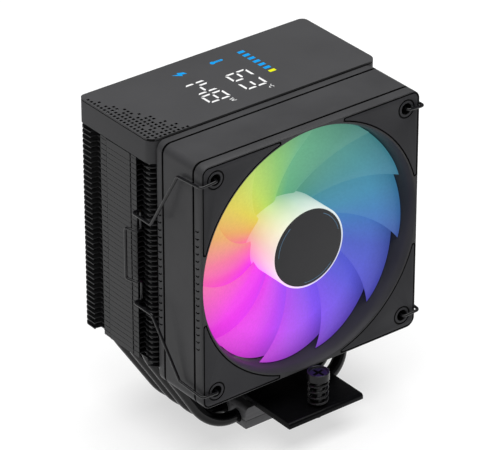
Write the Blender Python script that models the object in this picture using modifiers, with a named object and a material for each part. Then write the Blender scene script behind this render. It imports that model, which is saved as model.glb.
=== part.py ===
"""Single-tower CPU cooler with one lit 120 mm fan and a temperature display in its top cover.

Metres, +Z up. The origin is the centre of the cold plate's contact face, which is the plane z = 0.
The fan's front faces -Y and its axis is parallel to Y; the four heat pipes are bent up on both X sides.
"""
import math

import bmesh
import bpy
from mathutils import Matrix, Vector

MM = 0.001
GAP = 0.3 * MM                      # clearance between pieces that rest on each other

# Fan: a square frame of the 120 mm size, with screw holes 105 mm apart
FAN_HALF = 60.0 * MM
FAN_DEPTH = 32.0 * MM
FAN_HOLE = 52.5 * MM                # half the hole spacing
FAN_FRONT = -39.5 * MM              # y of the fan's front face
FAN_Z = 93.5 * MM                   # height of the fan's axis
FRAME_CORNER = 4.5 * MM
MOUTH_R = 59.0 * MM                 # bore radius at the front lip
BORE_R = 57.9 * MM
MOUTH_DEPTH = 3.0 * MM
FLANGE_FRONT = 5.8 * MM             # depth of the front groove's middle
FLANGE_REAR = 27.5 * MM
GROOVE_WIDE = 0.84 * MM             # the two grooves round the frame
GROOVE_DEEP = 1.2 * MM
SCREW_HOLE_R = 2.75 * MM
PAD_DEPTH = 1.2 * MM                # depth of the pockets for the corner pads
PAD_OUTER = 59.4 * MM               # outer side of a pad, from the fan's axis
PAD_INNER_R = 60.0 * MM             # the pads' arc round the mouth
PAD_END = 17.0 * MM                 # where a pad stops short of the frame's middle
PAD_CORNER = 3.2 * MM

# Rotor and motor: radii from the fan's axis, depths from the fan's front face
HUB_R = 19.5 * MM
HUB_FRONT = 2.2 * MM
HUB_REAR = 25.0 * MM
CAP_R = 18.5 * MM
BLADE_R = 57.0 * MM
BLADES = 11
ROOT_SPAN = math.radians(44.0)      # angle that one blade covers at the hub
TIP_SPAN = math.radians(66.0)
BLADE_SKEW = math.radians(16.0)     # how far the tip leads the root
BLADE_CAMBER = 1.6                  # above 1, a blade lies flat at its front edge and steepens to the rear
BLADE_THICK = 1.2 * MM
ROOT_FRONT = 19.0 * MM              # the front edges slope from here at the hub to here at the tips
TIP_FRONT = 6.8 * MM
BLADE_REAR = 23.8 * MM
BASE_FRONT = 28.0 * MM              # motor base and struts
BASE_REAR = 31.2 * MM
BASE_R = 21.0 * MM
STRUT_WIDTH = 5.2 * MM
SLEEVE_IN = 1.8 * MM                # bearing sleeve
SLEEVE_OUT = 4.0 * MM
SHAFT_R = 1.5 * MM
POLES = 4

# Fin stack
STACK_HALF = 62.5 * MM
STACK_FRONT = -7.0 * MM
STACK_DEPTH = 52.5 * MM
STACK_REAR = STACK_FRONT + STACK_DEPTH
STACK_MID = 0.5 * (STACK_FRONT + STACK_REAR)
FINS = 40
FIN_BOTTOM = 40.2 * MM
FIN_PITCH = 2.56 * MM
FIN_THICK = 0.4 * MM
FIN_TOP = FIN_BOTTOM + (FINS - 1) * FIN_PITCH + FIN_THICK
WALL_THICK = 0.6 * MM               # the folded tabs that close the stack's sides
WALL_TOP = 141.5 * MM
CLIP_RECESS = (-3.4 * MM, 3.8 * MM) # y of the recess that takes a fan clip
HOOK_Y = 2.6 * MM                   # where the clip lies in it
REAR_RECESS = (30.0 * MM, 37.0 * MM)
RECESS_DEPTH = 3.0 * MM
FIN_CORNER = 3.0 * MM
ACCESS_HALF = 4.6 * MM              # notch in the rear edge for the driver of the rear spring screw
ACCESS_DEPTH = 6.0 * MM

# Heat pipes
PIPES = 4
PIPE_R = 3.0 * MM
PIPE_Z = 4.2 * MM
PIPE_PITCH_BASE = 9.7 * MM
PIPE_PITCH_FINS = 12.6 * MM
PIPE_LEG_X = 52.0 * MM
PIPE_KNEE_X = 37.0 * MM             # where the base run, carried on, would meet the leaning leg
PIPE_SHOULDER_Z = 35.0 * MM         # where the leaning leg would meet the upright one
PIPE_BEND = 17.0 * MM
PIPE_TOP = FIN_TOP - 0.1 * MM

# Base
PLATE_X = 44.0 * MM
PLATE_Y = 42.0 * MM
PLATE_TOP = PIPE_Z - GAP / 2
BLOCK_TOP = 10.7 * MM
BOSS_X = 30.0 * MM
BOSS_Y = 32.0 * MM
BAR_BOTTOM = 14.4 * MM
BAR_THICK = 2.9 * MM
BAR_TOP = BAR_BOTTOM + BAR_THICK
BAR_X = 42.0 * MM
BAR_Y = 102.4 * MM
BOLT_X = 9.0 * MM
BOLT_R = 1.5 * MM
BOLT_HOLE_R = 1.9 * MM
BOLT_TIP = 8.4 * MM

# Spring screws
SCREW_Y = 45.0 * MM                 # half the distance between the two screws
HEAD_TOP = 34.1 * MM
HEAD_HIGH = 4.0 * MM
HEAD_R = 5.2 * MM
SHANK_R = 2.0 * MM
SCREW_TIP = 10.2 * MM
CLIP_Z = 13.0 * MM                  # middle of the retaining clip under the crossbar
SPRING_R = 4.2 * MM
SPRING_WIRE = 0.6 * MM              # radius of the spring's wire
SPRING_TURNS = 4.3

# Top cover and display
COVER_HALF = 62.6 * MM
COVER_FRONT = -7.0 * MM
COVER_REAR = 45.6 * MM
COVER_BOTTOM = 141.9 * MM
COVER_TOP = 154.2 * MM
COVER_WALL = 1.6 * MM
PANEL_THICK = 0.8 * MM
TRAY_BOTTOM = FIN_TOP + GAP
TRAY_THICK = 1.0 * MM
TRAY_SIDE_TOP = 144.0 * MM
TRAY_HALF = 60.4 * MM
TRAY_Y = (-3.5 * MM, 43.0 * MM)
BOARD_BOTTOM = 145.0 * MM
BOARD_TOP = 146.0 * MM
BOARD_HALF = 44.0 * MM
BOARD_Y = (-1.0 * MM, 39.5 * MM)
POST_X = 38.0 * MM
POST_Y = (3.0 * MM, 35.0 * MM)
GUIDE_HALF = 24.0 * MM
GUIDE_Y = (0.5 * MM, 38.5 * MM)
GUIDE_PLATE_TOP = 148.4 * MM
GUIDE_TOP = 153.1 * MM
DIGIT_SIZE = (12.4 * MM, 8.4 * MM)
UPPER_DIGITS = (4.8 * MM, (17.85 * MM, 8.55 * MM))              # x of the row, y of each digit
LOWER_DIGITS = (-15.6 * MM, (27.2 * MM, 17.8 * MM, 8.5 * MM))
BAR_COUNT = 7                       # the row of level bars
BAR_PITCH = 3.72 * MM
BAR_SIZE = (3.8 * MM, 2.3 * MM)
BAR_FIRST = (19.2 * MM, 13.08 * MM)
ICON_SIZE = (7.2 * MM, 3.6 * MM)
ICON_Y = 34.7 * MM

# Fan clips: spring wire, bent to this route on the -X side (x, y, height above the fan's axis)
WIRE_R = 0.7 * MM
WIRE_BEND = 1.3 * MM

parts = bpy.data.collections.new("cpu_tower_cooler")
cutters = bpy.data.collections.new("cutters")


# ---------------------------------------------------------------- helpers

def clear_scene():
    for old in list(bpy.data.objects):
        bpy.data.objects.remove(old)
    for collection in (parts, cutters):
        bpy.context.scene.collection.children.link(collection)


def material(name, colour, roughness, metallic):
    made = bpy.data.materials.new(name)
    made.use_nodes = True
    shader = made.node_tree.nodes["Principled BSDF"]
    shader.inputs["Base Color"].default_value = (*colour, 1.0)
    shader.inputs["Roughness"].default_value = roughness
    shader.inputs["Metallic"].default_value = metallic
    return made


def finish(obj, colour, roughness, metallic=0.0, angle=35.0):
    """Give a part its own material, soft shading where it is round, and its place in the model."""
    obj.data.materials.clear()
    obj.data.materials.append(material(obj.name + "_finish", colour, roughness, metallic))
    if obj.type == "MESH":
        obj.data.shade_smooth()
        obj.data.set_sharp_from_angle(angle=math.radians(angle))
    parts.objects.link(obj)
    return obj


def cutter(obj):
    obj.hide_render = True
    obj.display_type = "WIRE"
    cutters.objects.link(obj)
    return obj


def boolean(obj, tool, operation="DIFFERENCE"):
    change = obj.modifiers.new(operation.lower(), "BOOLEAN")
    change.operation = operation
    change.solver = "EXACT"
    change.object = tool


def mesh_object(name, shape):
    mesh = bpy.data.meshes.new(name)
    shape.normal_update()
    shape.to_mesh(mesh)
    shape.free()
    return bpy.data.objects.new(name, mesh)


def boxes(name, corners):
    """One object of separate boxes, each given by its lowest and its highest corner."""
    shape = bmesh.new()
    for low, high in corners:
        low, high = Vector(low), Vector(high)
        place = Matrix.Translation((low + high) / 2) @ Matrix.Diagonal((*(high - low), 1.0))
        bmesh.ops.create_cube(shape, size=1.0, matrix=place)
    return mesh_object(name, shape)


def cylinders(name, ends, radius, sides):
    """One object of separate cylinders, each given by the centres of its two ends."""
    shape = bmesh.new()
    for start, end in ends:
        start, end = Vector(start), Vector(end)
        turn = (end - start).to_track_quat("Z", "Y").to_matrix().to_4x4()
        bmesh.ops.create_cone(shape, cap_ends=True, segments=sides, radius1=radius, radius2=radius,
                              depth=(end - start).length, matrix=Matrix.Translation((start + end) / 2) @ turn)
    return mesh_object(name, shape)


def turned(name, profile, steps, place, closed=False):
    """Turn a profile of (radius, height) points about Z; `place` then stands it where it belongs."""
    shape = bmesh.new()
    points = [shape.verts.new((radius, 0.0, height)) for radius, height in profile]
    for first, second in zip(points, points[1:]):
        shape.edges.new((first, second))
    if closed:
        shape.edges.new((points[-1], points[0]))
    obj = mesh_object(name, shape)
    screw = obj.modifiers.new("turn", "SCREW")
    screw.steps = steps
    screw.render_steps = steps
    screw.use_merge_vertices = True
    screw.merge_threshold = 0.00001
    screw.use_smooth_shade = True
    obj.matrix_world = place
    return obj


def fan_place(depth=0.0):
    """Stands a shape on the fan: its z axis points forwards and its y axis up, from the fan's axis."""
    return Matrix.Translation((0.0, FAN_FRONT + depth, FAN_Z)) @ Matrix.Rotation(math.radians(90.0), 4, "X")


def fan_turned(name, profile, steps, closed=False):
    """Turn a profile of (radius, depth behind the fan's front face) points about the fan's axis."""
    return turned(name, [(radius, -depth) for radius, depth in profile], steps, fan_place(), closed)


def lofted(name, rings):
    """A closed solid through rings that have the same number of points."""
    shape = bmesh.new()
    made = [[shape.verts.new(point) for point in ring] for ring in rings]
    for first, second in zip(made, made[1:]):
        for step in range(len(first)):
            after = (step + 1) % len(first)
            shape.faces.new((first[step], first[after], second[after], second[step]))
    shape.faces.new(made[0])
    shape.faces.new(made[-1])
    bmesh.ops.recalc_face_normals(shape, faces=shape.faces)
    return mesh_object(name, shape)


def curve_object(name, rings, dimensions, cyclic):
    curve = bpy.data.curves.new(name, "CURVE")
    curve.dimensions = dimensions
    curve.resolution_u = 1
    curve.render_resolution_u = 0
    for ring in rings:
        spline = curve.splines.new("POLY")
        spline.points.add(len(ring) - 1)
        for point, where in zip(spline.points, ring):
            point.co = (*where, 1.0) if len(where) == 3 else (*where, 0.0, 1.0)
        spline.use_cyclic_u = cyclic
    return bpy.data.objects.new(name, curve)


def as_mesh(obj):
    """The mesh of a curve object, with its loose caps welded, in a new object at the same place."""
    cutters.objects.link(obj)
    bpy.context.view_layer.update()
    seen = obj.evaluated_get(bpy.context.evaluated_depsgraph_get())
    mesh = bpy.data.meshes.new_from_object(seen)
    place = obj.matrix_world.copy()
    name = obj.name
    bpy.data.objects.remove(obj)
    shape = bmesh.new()
    shape.from_mesh(mesh)
    bmesh.ops.remove_doubles(shape, verts=shape.verts, dist=0.000001)
    bmesh.ops.recalc_face_normals(shape, faces=shape.faces)
    shape.to_mesh(mesh)
    shape.free()
    made = bpy.data.objects.new(name, mesh)
    made.matrix_world = place
    return made


def slab(name, rings, low, high, upright=False):
    """A flat outline with holes, between two heights, or between two depths of the fan if upright."""
    obj = curve_object(name, rings, "2D", cyclic=True)
    obj.data.fill_mode = "BOTH"
    obj.data.extrude = abs(high - low) / 2
    middle = (low + high) / 2
    obj.matrix_world = fan_place(middle) if upright else Matrix.Translation((0.0, 0.0, middle))
    return as_mesh(obj)


def tube(name, points, radius, roundness):
    obj = curve_object(name, [points], "3D", cyclic=False)
    obj.data.bevel_depth = radius
    obj.data.bevel_resolution = roundness
    obj.data.use_fill_caps = True
    return as_mesh(obj)


def arc(centre, radius, start, end, steps):
    """Points on an arc, both ends included; angles in degrees."""
    points = []
    for step in range(steps + 1):
        angle = math.radians(start + (end - start) * step / steps)
        points.append((centre[0] + radius * math.cos(angle), centre[1] + radius * math.sin(angle)))
    return points


def rounded_rectangle(low, high, radii, steps):
    """Corner radii run from the low-x, low-y corner anticlockwise."""
    corners = ((low[0], low[1], 180), (high[0], low[1], 270), (high[0], high[1], 0), (low[0], high[1], 90))
    points = []
    for (x, y, start), radius in zip(corners, radii):
        inward = (radius if x == low[0] else -radius, radius if y == low[1] else -radius)
        points += arc((x + inward[0], y + inward[1]), radius, start, start + 90, steps)
    return points


def circle(centre, radius, sides):
    return arc(centre, radius, 0.0, 360.0 - 360.0 / sides, sides - 1)


def polar(radius, degrees):
    angle = math.radians(degrees)
    return (radius * math.cos(angle), radius * math.sin(angle))


def rounded_route(corners, radius, steps):
    """A route through the corners, each one rounded with an arc as wide as it has room for."""
    corners = [Vector(corner) for corner in corners]
    route = [corners[0]]
    for before, corner, after in zip(corners, corners[1:], corners[2:]):
        back, ahead = (before - corner), (after - corner)
        half = back.angle(ahead) / 2
        reach = min(radius / math.tan(half), 0.45 * back.length, 0.45 * ahead.length)
        bend = reach * math.tan(half)
        back.normalize()
        ahead.normalize()
        centre = corner + (back + ahead).normalized() * bend / math.sin(half)
        start, end = corner + back * reach - centre, corner + ahead * reach - centre
        turn = start.angle(end)
        for step in range(steps + 1):
            part = step / steps
            bent = start * math.sin((1 - part) * turn) + end * math.sin(part * turn)
            route.append(centre + bent / math.sin(turn))
    route.append(corners[-1])
    return [tuple(point) for point in route]


# ---------------------------------------------------------------- base and heat pipes

def pipe_rows():
    """For each pipe: its y in the base and its y in the fins."""
    rows = []
    for index in range(PIPES):
        step = index - (PIPES - 1) / 2
        rows.append((step * PIPE_PITCH_BASE, STACK_MID + step * PIPE_PITCH_FINS))
    return rows


def pipe_grooves():
    ends = [((-PLATE_X, y, PIPE_Z), (PLATE_X, y, PIPE_Z)) for y, _ in pipe_rows()]
    return cutter(cylinders("pipe_grooves", ends, PIPE_R + GAP, 16))


def bolt_holes():
    spots = [(side * BOLT_X, 0.0) for side in (-1, 1)]
    ends = [((x, y, BOLT_TIP - GAP), (x, y, BAR_TOP + MM)) for x, y in spots]
    return cutter(cylinders("bolt_holes", ends, BOLT_HOLE_R, 12))


def cold_plate(grooves):
    half_x, half_y = PLATE_X / 2, PLATE_Y / 2
    plate = boxes("cold_plate", [((-half_x, -half_y, 0.0), (half_x, half_y, PLATE_TOP))])
    boolean(plate, grooves)
    finish(plate, (0.62, 0.6, 0.58), 0.25, 1.0)


def base_block(grooves, holes):
    half_x, half_y = PLATE_X / 2, PLATE_Y / 2
    block = boxes("base_block", [((-half_x, -half_y, PIPE_Z + GAP / 2), (half_x, half_y, BLOCK_TOP))])
    low = (-BOSS_X / 2, -BOSS_Y / 2, BLOCK_TOP - MM)
    high = (BOSS_X / 2, BOSS_Y / 2, BAR_BOTTOM - GAP)
    boolean(block, cutter(boxes("boss", [(low, high)])), "UNION")
    boolean(block, grooves)
    boolean(block, holes)
    finish(block, (0.05, 0.05, 0.055), 0.45, 0.6)


def heat_pipes():
    for index, (y_base, y_fins) in enumerate(pipe_rows()):
        half = [(PIPE_KNEE_X, y_base, PIPE_Z), (PIPE_LEG_X, y_fins, PIPE_SHOULDER_Z)]
        half.append((PIPE_LEG_X, y_fins, PIPE_TOP))
        mirrored = [(-x, y, z) for x, y, z in reversed(half)]
        route = rounded_route(mirrored + half, PIPE_BEND, 4)
        finish(tube(f"heat_pipe_{index + 1}", route, PIPE_R, 2), (0.02, 0.02, 0.022), 0.25, 0.7, 50.0)


def crossbar(holes):
    corner, clearance = 1.2 * MM, 0.7 * MM
    outline = rounded_rectangle((-BAR_X / 2, -BAR_Y / 2), (BAR_X / 2, BAR_Y / 2), (corner,) * 4, 3)
    screw_holes = [circle((0.0, side * SCREW_Y), SHANK_R + clearance, 12) for side in (-1, 1)]
    bar = slab("crossbar", [outline] + screw_holes, BAR_BOTTOM, BAR_TOP)
    boolean(bar, holes)
    finish(bar, (0.012, 0.012, 0.014), 0.2, 0.6)


def crossbar_bolts():
    head, head_high = 3.2 * MM, 1.8 * MM
    seat = BAR_TOP + GAP
    profile = [(0.0, seat + head_high), (head, seat + head_high), (head, seat), (BOLT_R, seat),
               (BOLT_R, BOLT_TIP), (0.0, BOLT_TIP)]
    for side, name in ((-1, "left"), (1, "right")):
        place = Matrix.Translation((side * BOLT_X, 0.0, 0.0))
        finish(turned(f"crossbar_bolt_{name}", profile, 12, place), (0.3, 0.3, 0.3), 0.3, 1.0)


# ---------------------------------------------------------------- spring screws

def cross_recess(name, y):
    arm, width, deep = 2.7 * MM, 0.45 * MM, 2.6 * MM
    low, high = HEAD_TOP - deep, HEAD_TOP + MM
    bars = boxes(name, [((-arm, -width, low), (arm, width, high))])
    other = boxes(name + "_arm", [((-width, -arm, low), (width, arm, high))])
    for piece in (bars, other):
        piece.matrix_world = Matrix.Translation((0.0, y, 0.0)) @ Matrix.Rotation(math.radians(45.0), 4, "Z")
    boolean(bars, cutter(other), "UNION")
    return cutter(bars)


def spring_screw(name, y):
    """A wide head with a sunk face, a plain shank, and a groove for the retaining clip."""
    under = HEAD_TOP - HEAD_HIGH
    rim, chamfer, dish = 0.8 * MM, 0.3 * MM, 0.9 * MM
    neck, neck_half = SHANK_R - 0.45 * MM, 0.7 * MM
    tip = 0.8 * MM
    profile = [(0.0, HEAD_TOP - dish), (HEAD_R - rim - 0.7 * MM, HEAD_TOP - dish), (HEAD_R - rim, HEAD_TOP),
               (HEAD_R - chamfer, HEAD_TOP), (HEAD_R, HEAD_TOP - chamfer), (HEAD_R, under),
               (SHANK_R, under), (SHANK_R, CLIP_Z + neck_half), (neck, CLIP_Z + neck_half),
               (neck, CLIP_Z - neck_half), (SHANK_R, CLIP_Z - neck_half), (SHANK_R, SCREW_TIP + tip),
               (SHANK_R - tip, SCREW_TIP), (0.0, SCREW_TIP)]
    screw = turned(f"spring_screw_{name}", profile, 14, Matrix.Translation((0.0, y, 0.0)))
    boolean(screw, cross_recess(f"cross_recess_{name}", y))
    finish(screw, (0.1, 0.1, 0.11), 0.3, 1.0)


def screw_spring(name, y):
    low, high = BAR_TOP + GAP + SPRING_WIRE, HEAD_TOP - HEAD_HIGH - GAP - SPRING_WIRE
    steps = int(SPRING_TURNS * 8)
    flat = 0.55                                 # turns at each end that lie almost flat
    slope = 1.3 * MM                            # their rise per turn
    free = SPRING_TURNS - 2 * flat
    pitch = (high - low - 2 * flat * slope) / free
    points = []
    for step in range(steps + 1):
        turns = SPRING_TURNS * step / steps
        rise = slope * min(turns, flat) + pitch * min(max(turns - flat, 0.0), free)
        rise += slope * max(turns - flat - free, 0.0)
        angle = 2 * math.pi * turns
        points.append((SPRING_R * math.cos(angle), y + SPRING_R * math.sin(angle), low + rise))
    finish(tube(f"screw_spring_{name}", points, SPRING_WIRE, 1), (0.12, 0.12, 0.13), 0.3, 1.0, 70.0)


def screw_clip(name, y):
    inner, outer, high = SHANK_R - 0.15 * MM, 4.2 * MM, 0.4 * MM
    opening = 40.0
    ring = arc((0.0, y), outer, -90.0 + opening, 270.0 - opening, 14)
    ring += arc((0.0, y), inner, 270.0 - opening, -90.0 + opening, 10)
    finish(slab(f"screw_clip_{name}", [ring], CLIP_Z - high, CLIP_Z + high), (0.35, 0.35, 0.36), 0.35, 1.0)


# ---------------------------------------------------------------- fin stack

def fin_outline(lowest):
    """The left half is the right half mirrored. The lowest fin is cut back under the side tabs."""
    side = STACK_HALF
    recess = side - RECESS_DEPTH
    half = [(side - FIN_CORNER, STACK_FRONT), (side, STACK_FRONT + FIN_CORNER)]
    half += [(side, CLIP_RECESS[0]), (recess, CLIP_RECESS[0])]
    if not lowest:
        half += [(recess, CLIP_RECESS[1]), (side, CLIP_RECESS[1])]
        half += [(side, REAR_RECESS[0]), (recess, REAR_RECESS[0])]
    half += [(recess, REAR_RECESS[1]), (side, REAR_RECESS[1])]
    half += [(side, STACK_REAR - FIN_CORNER), (side - FIN_CORNER, STACK_REAR)]
    half += [(ACCESS_HALF, STACK_REAR), (ACCESS_HALF, STACK_REAR - ACCESS_DEPTH)]
    return half + [(-x, y) for x, y in reversed(half)]


def pipe_slots():
    """The pipe holes of one row run into each other, so each fin has one long slot on each side."""
    rows = [y for _, y in pipe_rows()]
    reach = PIPE_R + GAP
    slots = []
    for side in (-1, 1):
        low = (side * PIPE_LEG_X - reach, rows[0] - reach)
        high = (side * PIPE_LEG_X + reach, rows[-1] + reach)
        slots.append([low, (high[0], low[1]), high, (low[0], high[1])])
    return slots


def side_tabs():
    """The closed walls of folded tabs on both sides, and the ties that hold the lowest fin to the next."""
    inset = 0.1 * MM
    second = FIN_BOTTOM + FIN_PITCH
    tabs = []
    for side in (-1, 1):
        wall = sorted(side * (STACK_HALF + inset - depth) for depth in (0.0, WALL_THICK))
        tabs.append(((wall[0], CLIP_RECESS[1] + inset, second - inset),
                     (wall[1], REAR_RECESS[0] - inset, WALL_TOP)))
        tie = sorted(side * (STACK_HALF - RECESS_DEPTH - inset - depth) for depth in (0.0, WALL_THICK))
        tabs.append(((tie[0], REAR_RECESS[0] + inset, FIN_BOTTOM + inset),
                     (tie[1], REAR_RECESS[1] - inset, second + FIN_THICK / 2)))
    return cutter(boxes("side_tabs", tabs))


def fin_stack():
    lowest = slab("lowest_fin", [fin_outline(True)] + pipe_slots(), FIN_BOTTOM, FIN_BOTTOM + FIN_THICK)
    second = FIN_BOTTOM + FIN_PITCH
    stack = slab("fin_stack", [fin_outline(False)] + pipe_slots(), second, second + FIN_THICK)
    shape = bmesh.new()
    shape.from_mesh(stack.data)
    first = list(shape.verts) + list(shape.edges) + list(shape.faces)
    for index in range(1, FINS - 1):
        copy = bmesh.ops.duplicate(shape, geom=first)["geom"]
        moved = [item for item in copy if isinstance(item, bmesh.types.BMVert)]
        bmesh.ops.translate(shape, verts=moved, vec=(0.0, 0.0, index * FIN_PITCH))
    shape.to_mesh(stack.data)
    shape.free()
    boolean(stack, cutter(lowest), "UNION")
    boolean(stack, side_tabs(), "UNION")
    finish(stack, (0.035, 0.035, 0.037), 0.5, 0.5)


# ---------------------------------------------------------------- top cover and display

def cover_outline(inset):
    low = (-COVER_HALF + inset, COVER_FRONT + inset)
    high = (COVER_HALF - inset, COVER_REAR - inset)
    front, rear = 4.5 * MM - inset, 3.0 * MM - inset
    return rounded_rectangle(low, high, (front, front, rear, rear), 4)


def cable_opening():
    """Gap in the cover's rear wall for the cables of the display and the fan."""
    left, right, top = 28.0 * MM, 40.0 * MM, 150.3 * MM
    low = (left, COVER_REAR - 2 * COVER_WALL, COVER_BOTTOM - MM)
    return cutter(boxes("cable_opening", [(low, (right, COVER_REAR + MM, top))]))


def top_cover():
    """A flat top panel on a skirt, with a fine joint between the two."""
    joint = COVER_TOP - PANEL_THICK
    finish(slab("top_panel", [cover_outline(0.0)], joint, COVER_TOP), (0.06, 0.06, 0.062), 0.45)
    rings = [cover_outline(0.0), cover_outline(COVER_WALL)[::-1]]
    skirt = slab("cover_skirt", rings, COVER_BOTTOM, joint - GAP)
    boolean(skirt, cable_opening())
    finish(skirt, (0.06, 0.06, 0.062), 0.45)


def board_spots():
    return [(side * POST_X, y) for side in (-1, 1) for y in POST_Y]


def cover_tray():
    """Sheet-metal tray on the top fin: a floor, two low upturned sides and four posts for the board."""
    floor = TRAY_BOTTOM + TRAY_THICK
    inner = TRAY_HALF - TRAY_THICK
    low, high = (-TRAY_HALF, TRAY_Y[0], TRAY_BOTTOM), (TRAY_HALF, TRAY_Y[1], TRAY_SIDE_TOP)
    tray = boxes("cover_tray", [(low, high)])
    low = (-inner, TRAY_Y[0] - MM, floor)
    boolean(tray, cutter(boxes("tray_space", [(low, (inner, TRAY_Y[1] + MM, TRAY_SIDE_TOP + MM))])))
    post, hole, overlap, skin = 2.3 * MM, 1.4 * MM, 0.5 * MM, 0.4 * MM
    posts = [((x, y, floor - overlap), (x, y, BOARD_BOTTOM - GAP)) for x, y in board_spots()]
    boolean(tray, cutter(cylinders("tray_posts", posts, post, 10)), "UNION")
    holes = [((x, y, floor + skin), (x, y, BOARD_BOTTOM + MM)) for x, y in board_spots()]
    boolean(tray, cutter(cylinders("post_holes", holes, hole, 8)))
    finish(tray, (0.3, 0.3, 0.31), 0.4, 0.9)


def display_board():
    outline = rounded_rectangle((-BOARD_HALF, BOARD_Y[0]), (BOARD_HALF, BOARD_Y[1]), (1.5 * MM,) * 4, 2)
    holes = [circle(spot, 1.5 * MM, 8) for spot in board_spots()]
    finish(slab("display_board", [outline] + holes, BOARD_BOTTOM, BOARD_TOP), (0.01, 0.05, 0.02), 0.4)


def board_screws():
    seat, tip = BOARD_TOP + GAP, 142.6 * MM
    head, head_high, shank = 2.3 * MM, 1.2 * MM, 1.1 * MM
    profile = [(0.0, seat + head_high), (head, seat + head_high), (head, seat), (shank, seat), (shank, tip),
               (0.0, tip)]
    for index, (x, y) in enumerate(board_spots()):
        place = Matrix.Translation((x, y, 0.0))
        finish(turned(f"board_screw_{index + 1}", profile, 10, place), (0.4, 0.4, 0.4), 0.3, 1.0)


def board_components():
    """The chip that drives the display, and the socket of its cable, whose mouth faces the rear."""
    seat = BOARD_TOP + GAP
    chip = boxes("driver_chip", [((30 * MM, 14 * MM, seat), (38 * MM, 22 * MM, seat + 1.2 * MM))])
    finish(chip, (0.015, 0.015, 0.015), 0.4)
    left, right, front, rear, high, wall = 29 * MM, 34 * MM, 32 * MM, 39 * MM, 3.6 * MM, 0.7 * MM
    socket = boxes("cable_socket", [((left, front, seat), (right, rear, seat + high))])
    low = (left + wall, front + 2 * MM, seat + wall)
    boolean(socket, cutter(boxes("socket_mouth", [(low, (right - wall, rear + MM, seat + high - wall))])))
    finish(socket, (0.75, 0.73, 0.66), 0.5)


def light_guide():
    """Clear block under the cover: one plate with an island for each digit, bar and icon."""
    seat, overlap = BOARD_TOP + 0.4 * MM, 0.5 * MM
    low, high = (-GUIDE_HALF, GUIDE_Y[0], seat), (GUIDE_HALF, GUIDE_Y[1], GUIDE_PLATE_TOP)
    plate = boxes("display_light_guide", [(low, high)])
    spots = [(x, y, *DIGIT_SIZE) for x, middles in (LOWER_DIGITS, UPPER_DIGITS) for y in middles]
    spots += [(BAR_FIRST[0], BAR_FIRST[1] + index * BAR_PITCH, *BAR_SIZE) for index in range(BAR_COUNT)]
    spots += [(row[0], ICON_Y, *ICON_SIZE) for row in (LOWER_DIGITS, UPPER_DIGITS)]
    islands = []
    for x, y, long, wide in spots:
        low = (x - long / 2, y - wide / 2, GUIDE_PLATE_TOP - overlap)
        islands.append((low, (x + long / 2, y + wide / 2, GUIDE_TOP)))
    boolean(plate, cutter(boxes("islands", islands)), "UNION")
    finish(plate, (0.8, 0.82, 0.85), 0.3)


# ---------------------------------------------------------------- fan frame and its pads

def pad_outline(right, top, inset):
    """One corner pad, seen from the front: outer edges, a rounded corner and an arc round the mouth."""
    outer, end, inner = PAD_OUTER - inset, PAD_END + inset, PAD_INNER_R + inset
    corner = PAD_CORNER - inset
    start = math.degrees(math.asin(end / inner))
    points = [(outer, end)]
    points += arc((outer - corner, outer - corner), corner, 0.0, 90.0, 3)
    points += [(end, outer)]
    points += arc((0.0, 0.0), inner, 90.0 - start, start, 7)
    flipped = [(x * right, y * top) for x, y in points]
    return flipped if right * top > 0 else flipped[::-1]


def fan_hole_spots():
    return [(right, top) for top in (1, -1) for right in (-1, 1)]


def fan_holes():
    ends = []
    for right, top in fan_hole_spots():
        x, z = right * FAN_HOLE, FAN_Z + top * FAN_HOLE
        ends.append(((x, FAN_FRONT - MM, z), (x, FAN_FRONT + FAN_DEPTH + MM, z)))
    return cutter(cylinders("fan_holes", ends, SCREW_HOLE_R, 12))


def frame_body():
    """The frame's outside: a rounded square, pulled in at the two grooves."""
    stations = [(0.0, 0.0)]
    for groove in (FLANGE_FRONT, FLANGE_REAR):
        front, rear = groove - GROOVE_WIDE / 2, groove + GROOVE_WIDE / 2
        stations += [(front, 0.0), (front, GROOVE_DEEP), (rear, GROOVE_DEEP), (rear, 0.0)]
    stations.append((FAN_DEPTH, 0.0))
    rings = []
    for depth, inset in stations:
        half = FAN_HALF - inset
        outline = rounded_rectangle((-half, -half), (half, half), (FRAME_CORNER - inset,) * 4, 3)
        rings.append([(x, y, -depth) for x, y in outline])
    body = lofted("fan_frame", rings)
    body.matrix_world = fan_place()
    return body


def motor_seat():
    """The motor base, with the tube that holds the bearing."""
    tube_in, tube_out, tube_front = SLEEVE_OUT + GAP, SLEEVE_OUT + 1.3 * MM, 12.0 * MM
    profile = [(tube_in, tube_front), (tube_out, tube_front), (tube_out, BASE_FRONT), (BASE_R, BASE_FRONT),
               (BASE_R, BASE_REAR), (0.0, BASE_REAR), (0.0, BASE_FRONT), (tube_in, BASE_FRONT)]
    return cutter(fan_turned("motor_seat", profile, 20, closed=True))


def struts():
    """Four diagonal arms from under the motor base to the frame's corners."""
    inner, outer, inset = 15.0 * MM, 60.5 * MM, 0.3 * MM
    size = (outer - inner, BASE_REAR - BASE_FRONT - 2 * inset, STRUT_WIDTH)
    centre = Matrix.Translation((0.0, FAN_FRONT + (BASE_FRONT + BASE_REAR) / 2, FAN_Z))
    reach = Matrix.Translation(((inner + outer) / 2, 0.0, 0.0)) @ Matrix.Diagonal((*size, 1.0))
    shape = bmesh.new()
    for angle in (45.0, 135.0, 225.0, 315.0):
        turn = Matrix.Rotation(math.radians(angle), 4, "Y")
        bmesh.ops.create_cube(shape, size=1.0, matrix=centre @ turn @ reach)
    return cutter(mesh_object("struts", shape))


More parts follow.
